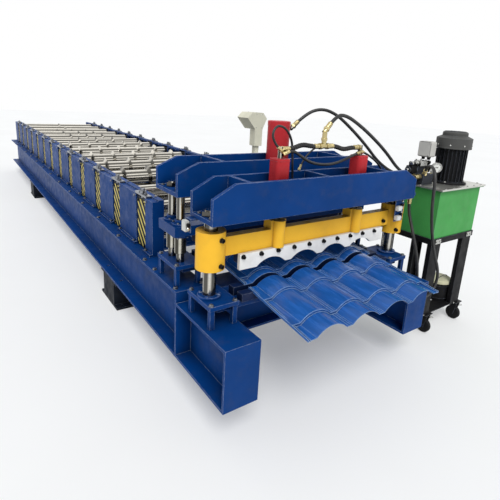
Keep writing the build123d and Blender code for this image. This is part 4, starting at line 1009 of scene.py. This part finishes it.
def valve_details():
    """Upper valve with silver solenoid tubes, coils, plugs, union nuts and socket bolts."""
    silver = bmesh.new()
    add_block(silver, (0.897, 0.302, 1.0955), (0.968, 0.352, 1.1300), 2)
    tube = [(13.5, 0), (13.5, 12), (10.5, 13), (10.5, 46), (12.5, 47), (12.5, 58), (9, 61), (0, 61)]
    for away, root, plug in ((LEFT, 0.897, 0.8225), (RIGHT, 0.968, 1.0425)):
        add_turning(silver, (root, 0.327, 1.113), away, tube, 24)
        add_turning(silver, (root, 0.327, 1.113), away, [(16.5, 2), (16.5, 11), (15, 12)], 6)
        add_turning(silver, (plug, 0.339, 1.073), away, [(10.5, -2), (10.5, 7), (8.5, 9), (0, 9)], 6)
    for place in grid((0.906, 0.959), (0.310, 0.344), 1.1298):
        add_socket_bolt(silver, place, UP, 6.5)
    make_piece("valve_tubes", silver, "bright_steel")
    black = bmesh.new()
    for low, high in (((0.8365, 0.3145, 1.0935), (0.8725, 0.3535, 1.0985)),
                      ((0.9925, 0.3145, 1.0935), (1.0285, 0.3535, 1.0985)),
                      ((0.8320, 0.3175, 1.0480), (0.8920, 0.3605, 1.0975)),
                      ((0.9730, 0.3175, 1.0480), (1.0330, 0.3605, 1.0975))):
        add_block(black, low, high, 3)
    for x in (0.8545, 1.0105):
        add_block(black, (x - 0.014, 0.3200, 1.0975), (x + 0.014, 0.3500, 1.1235), 3)
        add_turning(black, (x, 0.3205, 1.1100), FRONT, [(8.5, 0), (8.5, 7), (6.5, 10), (4, 10)], 18)
    make_piece("valve_coils", black, "bolt_black")
    unions = bmesh.new()
    for y in (0.330, 0.285):
        add_turning(unions, (0.880, y, 1.035), LEFT, [(17, 0), (17, 7), (15.5, 8), (12, 8)], 6)
    for place in grid((0.892, 0.973), (0.274, 0.350), 1.0498):
        add_socket_bolt(unions, place, UP, 7)
    make_piece("valve_unions", unions, "brass_fittings")


def gauge_dial():
    """Chrome rim, white dial with its scale marks and a pointer."""
    seat = aim(GAUGE_PLACE + GAUGE_FACING * 0.011, GAUGE_FACING)
    place = seat.translation
    rim = [(30, -22), (31.2, -21), (31.8, 0), (31.8, 4), (30.8, 5.6), (28, 5), (27.2, 2), (27.2, 0.2)]
    turnings("gauge_rim", "bright_steel", rim, [place], GAUGE_FACING, 48)
    turnings("gauge_dial", "dial_white", [(27.4, 0.4), (27.4, 1), (0, 1)], [place], GAUGE_FACING, 48)
    marks = bmesh.new()

    def add_mark(corners, lift):
        marks.faces.new([marks.verts.new(seat @ (corner + UP * lift)) for corner in corners])

    for n in range(25):
        angle = radians(-135 + 270 * n / 24)
        away = Vector((sin(angle), cos(angle), 0))
        aside = Vector((cos(angle), -sin(angle), 0)) * (0.0006 if n % 4 else 0.0011)
        inner = away * (0.0215 if n % 4 else 0.0195)
        outer = away * 0.0248
        add_mark((inner - aside, inner + aside, outer + aside, outer - aside), 0.0014)
    tip = Vector((sin(radians(-96)), cos(radians(-96)), 0))
    aside = Vector((-tip.y, tip.x, 0))
    tail = tip * -0.007
    point = tip * 0.021
    wide = aside * 0.0015
    narrow = aside * 0.0004
    add_mark((tail - wide, tail + wide, point + narrow, point - narrow), 0.002)
    add_turning(marks, place + GAUGE_FACING * 0.001, GAUGE_FACING, [(3.2, 0), (3.2, 1.6), (0, 1.8)], 20)
    make_piece("gauge_marks", marks, "bolt_black")


def caster_details():
    """Brake pedals, axle nuts and stem plates' bolts of the casters."""
    pedals = bmesh.new()
    tips = bmesh.new()
    tilt = (0.22, 0, 1)
    for x in CASTER_XS:
        for y in CASTER_YS:
            add_slab(pedals, [(-16, 16), (-12, -40), (12, -40), (16, 16)], (x + 0.004, y, 0.1010), tilt, 6)
            add_turning(pedals, (x + 0.010, y, 0.098), UP, [(12, 0), (12, 30), (0, 30)], 16)
            add_slab(tips, [(-17, -36), (-19, -74), (-10, -82), (10, -82), (19, -74), (17, -36)],
                     (x + 0.004, y, 0.0995), tilt, 7)
            for away in (FRONT, BACK):
                add_hex_bolt(tips, Vector((x, y, 0.048)) + away * 0.0315, away, 8)
            for step in (-0.018, 0.018):
                add_hex_bolt(tips, (x - 0.052, y + step, 0.1405), UP, 6)
    make_piece("caster_pedals", pedals, "motor_black")
    make_piece("caster_pedal_tips", tips, "bright_steel")


def can_details():
    """Bail handle and rolled beads of the oil can."""
    mesh = bmesh.new()
    for z in (0.160, 0.250):
        add_turning(mesh, CAN + UP * z, UP, [(79.5, -4), (82.2, -2), (82.2, 2), (79.5, 4)], 48)
    steps = 20
    rings = []
    for n in range(steps + 1):
        angle = pi * n / steps
        middle = CAN + Vector((-0.0845 * cos(angle), -0.030 * sin(angle), 0.262 + 0.054 * sin(angle)))
        rings.append([mesh.verts.new(middle + Vector((0, cos(turn), sin(turn))) * 0.0024)
                      for turn in (0, pi / 3, 2 * pi / 3, pi, 4 * pi / 3, 5 * pi / 3)])
    join_rings(mesh, rings)
    make_piece("can_handle", mesh, "motor_black")


# Switches, console, sheet and cylinders

# Height of the sheet's valleys at the outfeed end, and their rise per metre.
SHEET_VALLEY = 0.583
SHEET_FALL = 0.123
SHEET_ENDS = (-0.196, 0.214)
TILE_PITCH = 0.207
CYLINDER_X = 0.268


def limit_switches():
    """Limit switches at both ends of the cutter beam, on their brackets, with roller arms."""
    blocks("switch_brackets", "machine_blue", 1,
           ((-0.690, 0.305, 0.934), (-0.630, 0.350, 0.9415)),
           ((-0.694, 0.305, 0.880), (-0.690, 0.350, 0.9415)),
           ((0.532, 0.183, 0.812), (0.606, 0.187, 0.9425)),
           ((0.536, 0.179, 0.936), (0.602, 0.187, 0.9425)))
    blocks("switch_bodies", "dial_white", 3,
           ((-0.716, 0.310, 0.886), (-0.694, 0.346, 0.934)),
           ((0.528, 0.161, 0.878), (0.566, 0.1832, 0.906)),
           ((0.528, 0.161, 0.822), (0.566, 0.1832, 0.850)))
    arms = bmesh.new()
    rollers = bmesh.new()
    roller = [(8.5, 0), (8.5, 9), (3, 10), (0, 10)]
    for x, y, z, away in ((-0.705, 0.310, 0.900, FRONT), (0.566, 0.172, 0.892, RIGHT),
                          (0.566, 0.172, 0.836, RIGHT)):
        place = Vector((x, y, z))
        add_turning(arms, place, away, [(7, 0), (7, 10), (5, 12), (0, 12)], 18)
        add_slab(arms, [(-5, -5), (5, -5), (5, 22), (-5, 22)], place + away * 0.006, away, 3)
        add_turning(rollers, place + away * 0.004 + UP * 0.018, away, roller, 20)
    add_hex_bolt(arms, (-0.645, 0.328, 0.934), DOWN, 7)
    for z in (0.864, 0.927):
        add_hex_bolt(arms, (0.590, 0.183, z), FRONT, 6)
    make_piece("switch_arms", arms, "bright_steel")
    make_piece("switch_rollers", rollers, "bolt_black")


def console_details():
    """Buttons on the console's right hand slope, screws on its top and front, and the door in its back."""
    buttons = bmesh.new()
    middle = Vector((0.6915, 1.760, 1.248))
    away = Vector((0.0925, 0, -0.041)).normalized()
    along = Vector((away.z, 0, -away.x))
    for y in (-0.045, -0.015, 0.015, 0.045):
        for reach in (-0.022, 0.012):
            add_turning(buttons, middle + Vector((0, y, 0)) + along * reach, away,
                        [(9.5, 0), (9.5, 4), (8, 6), (6, 6), (6, 9), (0, 10)], 20)
    make_piece("console_buttons", buttons, "bolt_black")
    screws = bmesh.new()
    for y in (1.700, 1.820):
        add_turning(screws, (0.6165, y, 1.340), UP, [(4, 0), (4, 1.6), (0, 2)], 14)
    for place in grid((0.605, 0.660), (1.680,), 1.216, 1.324):
        add_turning(screws, place, FRONT, [(3.5, 0), (3.5, 1.4), (0, 1.8)], 14)
    make_piece("console_screws", screws, "bright_steel")
    blocks("console_back_door", "console_cream", 2, ((0.600, 1.7545, 1.069), (0.667, 1.7600, 1.196)))


def sheet_rims():
    """Narrow double ribs along both edges of the formed sheet, on both sides of its kerf."""
    mesh = bmesh.new()
    for side in (-1, 1):
        for ends in (SHEET_ENDS, (0.248, 0.520)):
            for x, width, lift in ((0.4385, 0.0030, 0.0060), (0.4290, 0.0026, 0.0045)):
                section = ((-width, -0.004), (width, -0.004), (width * 0.4, lift), (-width * 0.4, lift))
                rings = []
                for y in ends:
                    z = SHEET_VALLEY + SHEET_FALL * y
                    rings.append([mesh.verts.new((side * (x + out), y, z + rise)) for out, rise in section])
                join_rings(mesh, rings)
                mesh.faces.new(rings[0])
                mesh.faces.new(rings[1])
    make_piece("sheet_rims", mesh, "sheet_blue")


def sheet_lines():
    """Twin ribs along each valley of the formed sheet, laid on its surface."""
    sheet = frame["nodes"]["tile_sheet"]
    inverse = sheet.matrix_world.inverted()
    down = inverse.to_3x3() @ DOWN
    section = ((-0.0022, -0.001), (-0.0008, 0.0016), (0.0008, 0.0016), (0.0022, -0.001))
    mesh = bmesh.new()
    for valley in (-TILE_PITCH, 0, TILE_PITCH):
        for aside in (-0.007, 0.007):
            for first, last in (SHEET_ENDS, (0.250, 0.500)):
                before = None
                steps = round((last - first) / 0.004)
                for n in range(steps + 1):
                    y = first + (last - first) * n / steps
                    start = Vector((valley + aside, y, 0.75))
                    hit, place, _, _ = sheet.ray_cast(inverse @ start, down, distance=0.25)
                    if not hit:
                        before = None
                        continue
                    place = sheet.matrix_world @ place
                    ring = [mesh.verts.new(place + Vector((across, 0, lift))) for across, lift in section]
                    if before:
                        join_rings(mesh, [before, ring], closed=False)
                    before = ring
    make_piece("sheet_lines", mesh, "sheet_blue")


def cylinder_details():
    """Cap plates on the red cylinders."""
    caps = bmesh.new()
    for x in (-CYLINDER_X, CYLINDER_X):
        add_block(caps, (x - 0.0388, 0.2262, 1.1700), (x + 0.0388, 0.3038, 1.1912), 10)
    cap = [(0, -1.2), (58, -1.2), (63.2, 2), (63.2, 26), (60.5, 28)]
    add_turning(caps, (0, PRESS_Y, 1.336), DOWN, cap, 64)
    make_piece("cylinder_caps", caps, "enamel_red")


bpy.context.scene.view_settings.view_transform = "Standard"
make_camera()
make_world()
make_floor()
make_light()
dress_nodes()

for hose in HOSES:
    make_hose(*hose)
tee_body()

blade_bolts()
sleeve_bolts()
stand_bolts()
cover_screws()
screw_studs()
plate_collars()
base_bolts()
beam_bolts()
portal_bolts()
motor_foot()
cowl_details()
terminal_details()
tank_details()
valve_details()
gauge_dial()
caster_details()
can_details()
limit_switches()
console_details()
sheet_rims()
sheet_lines()
cylinder_details()
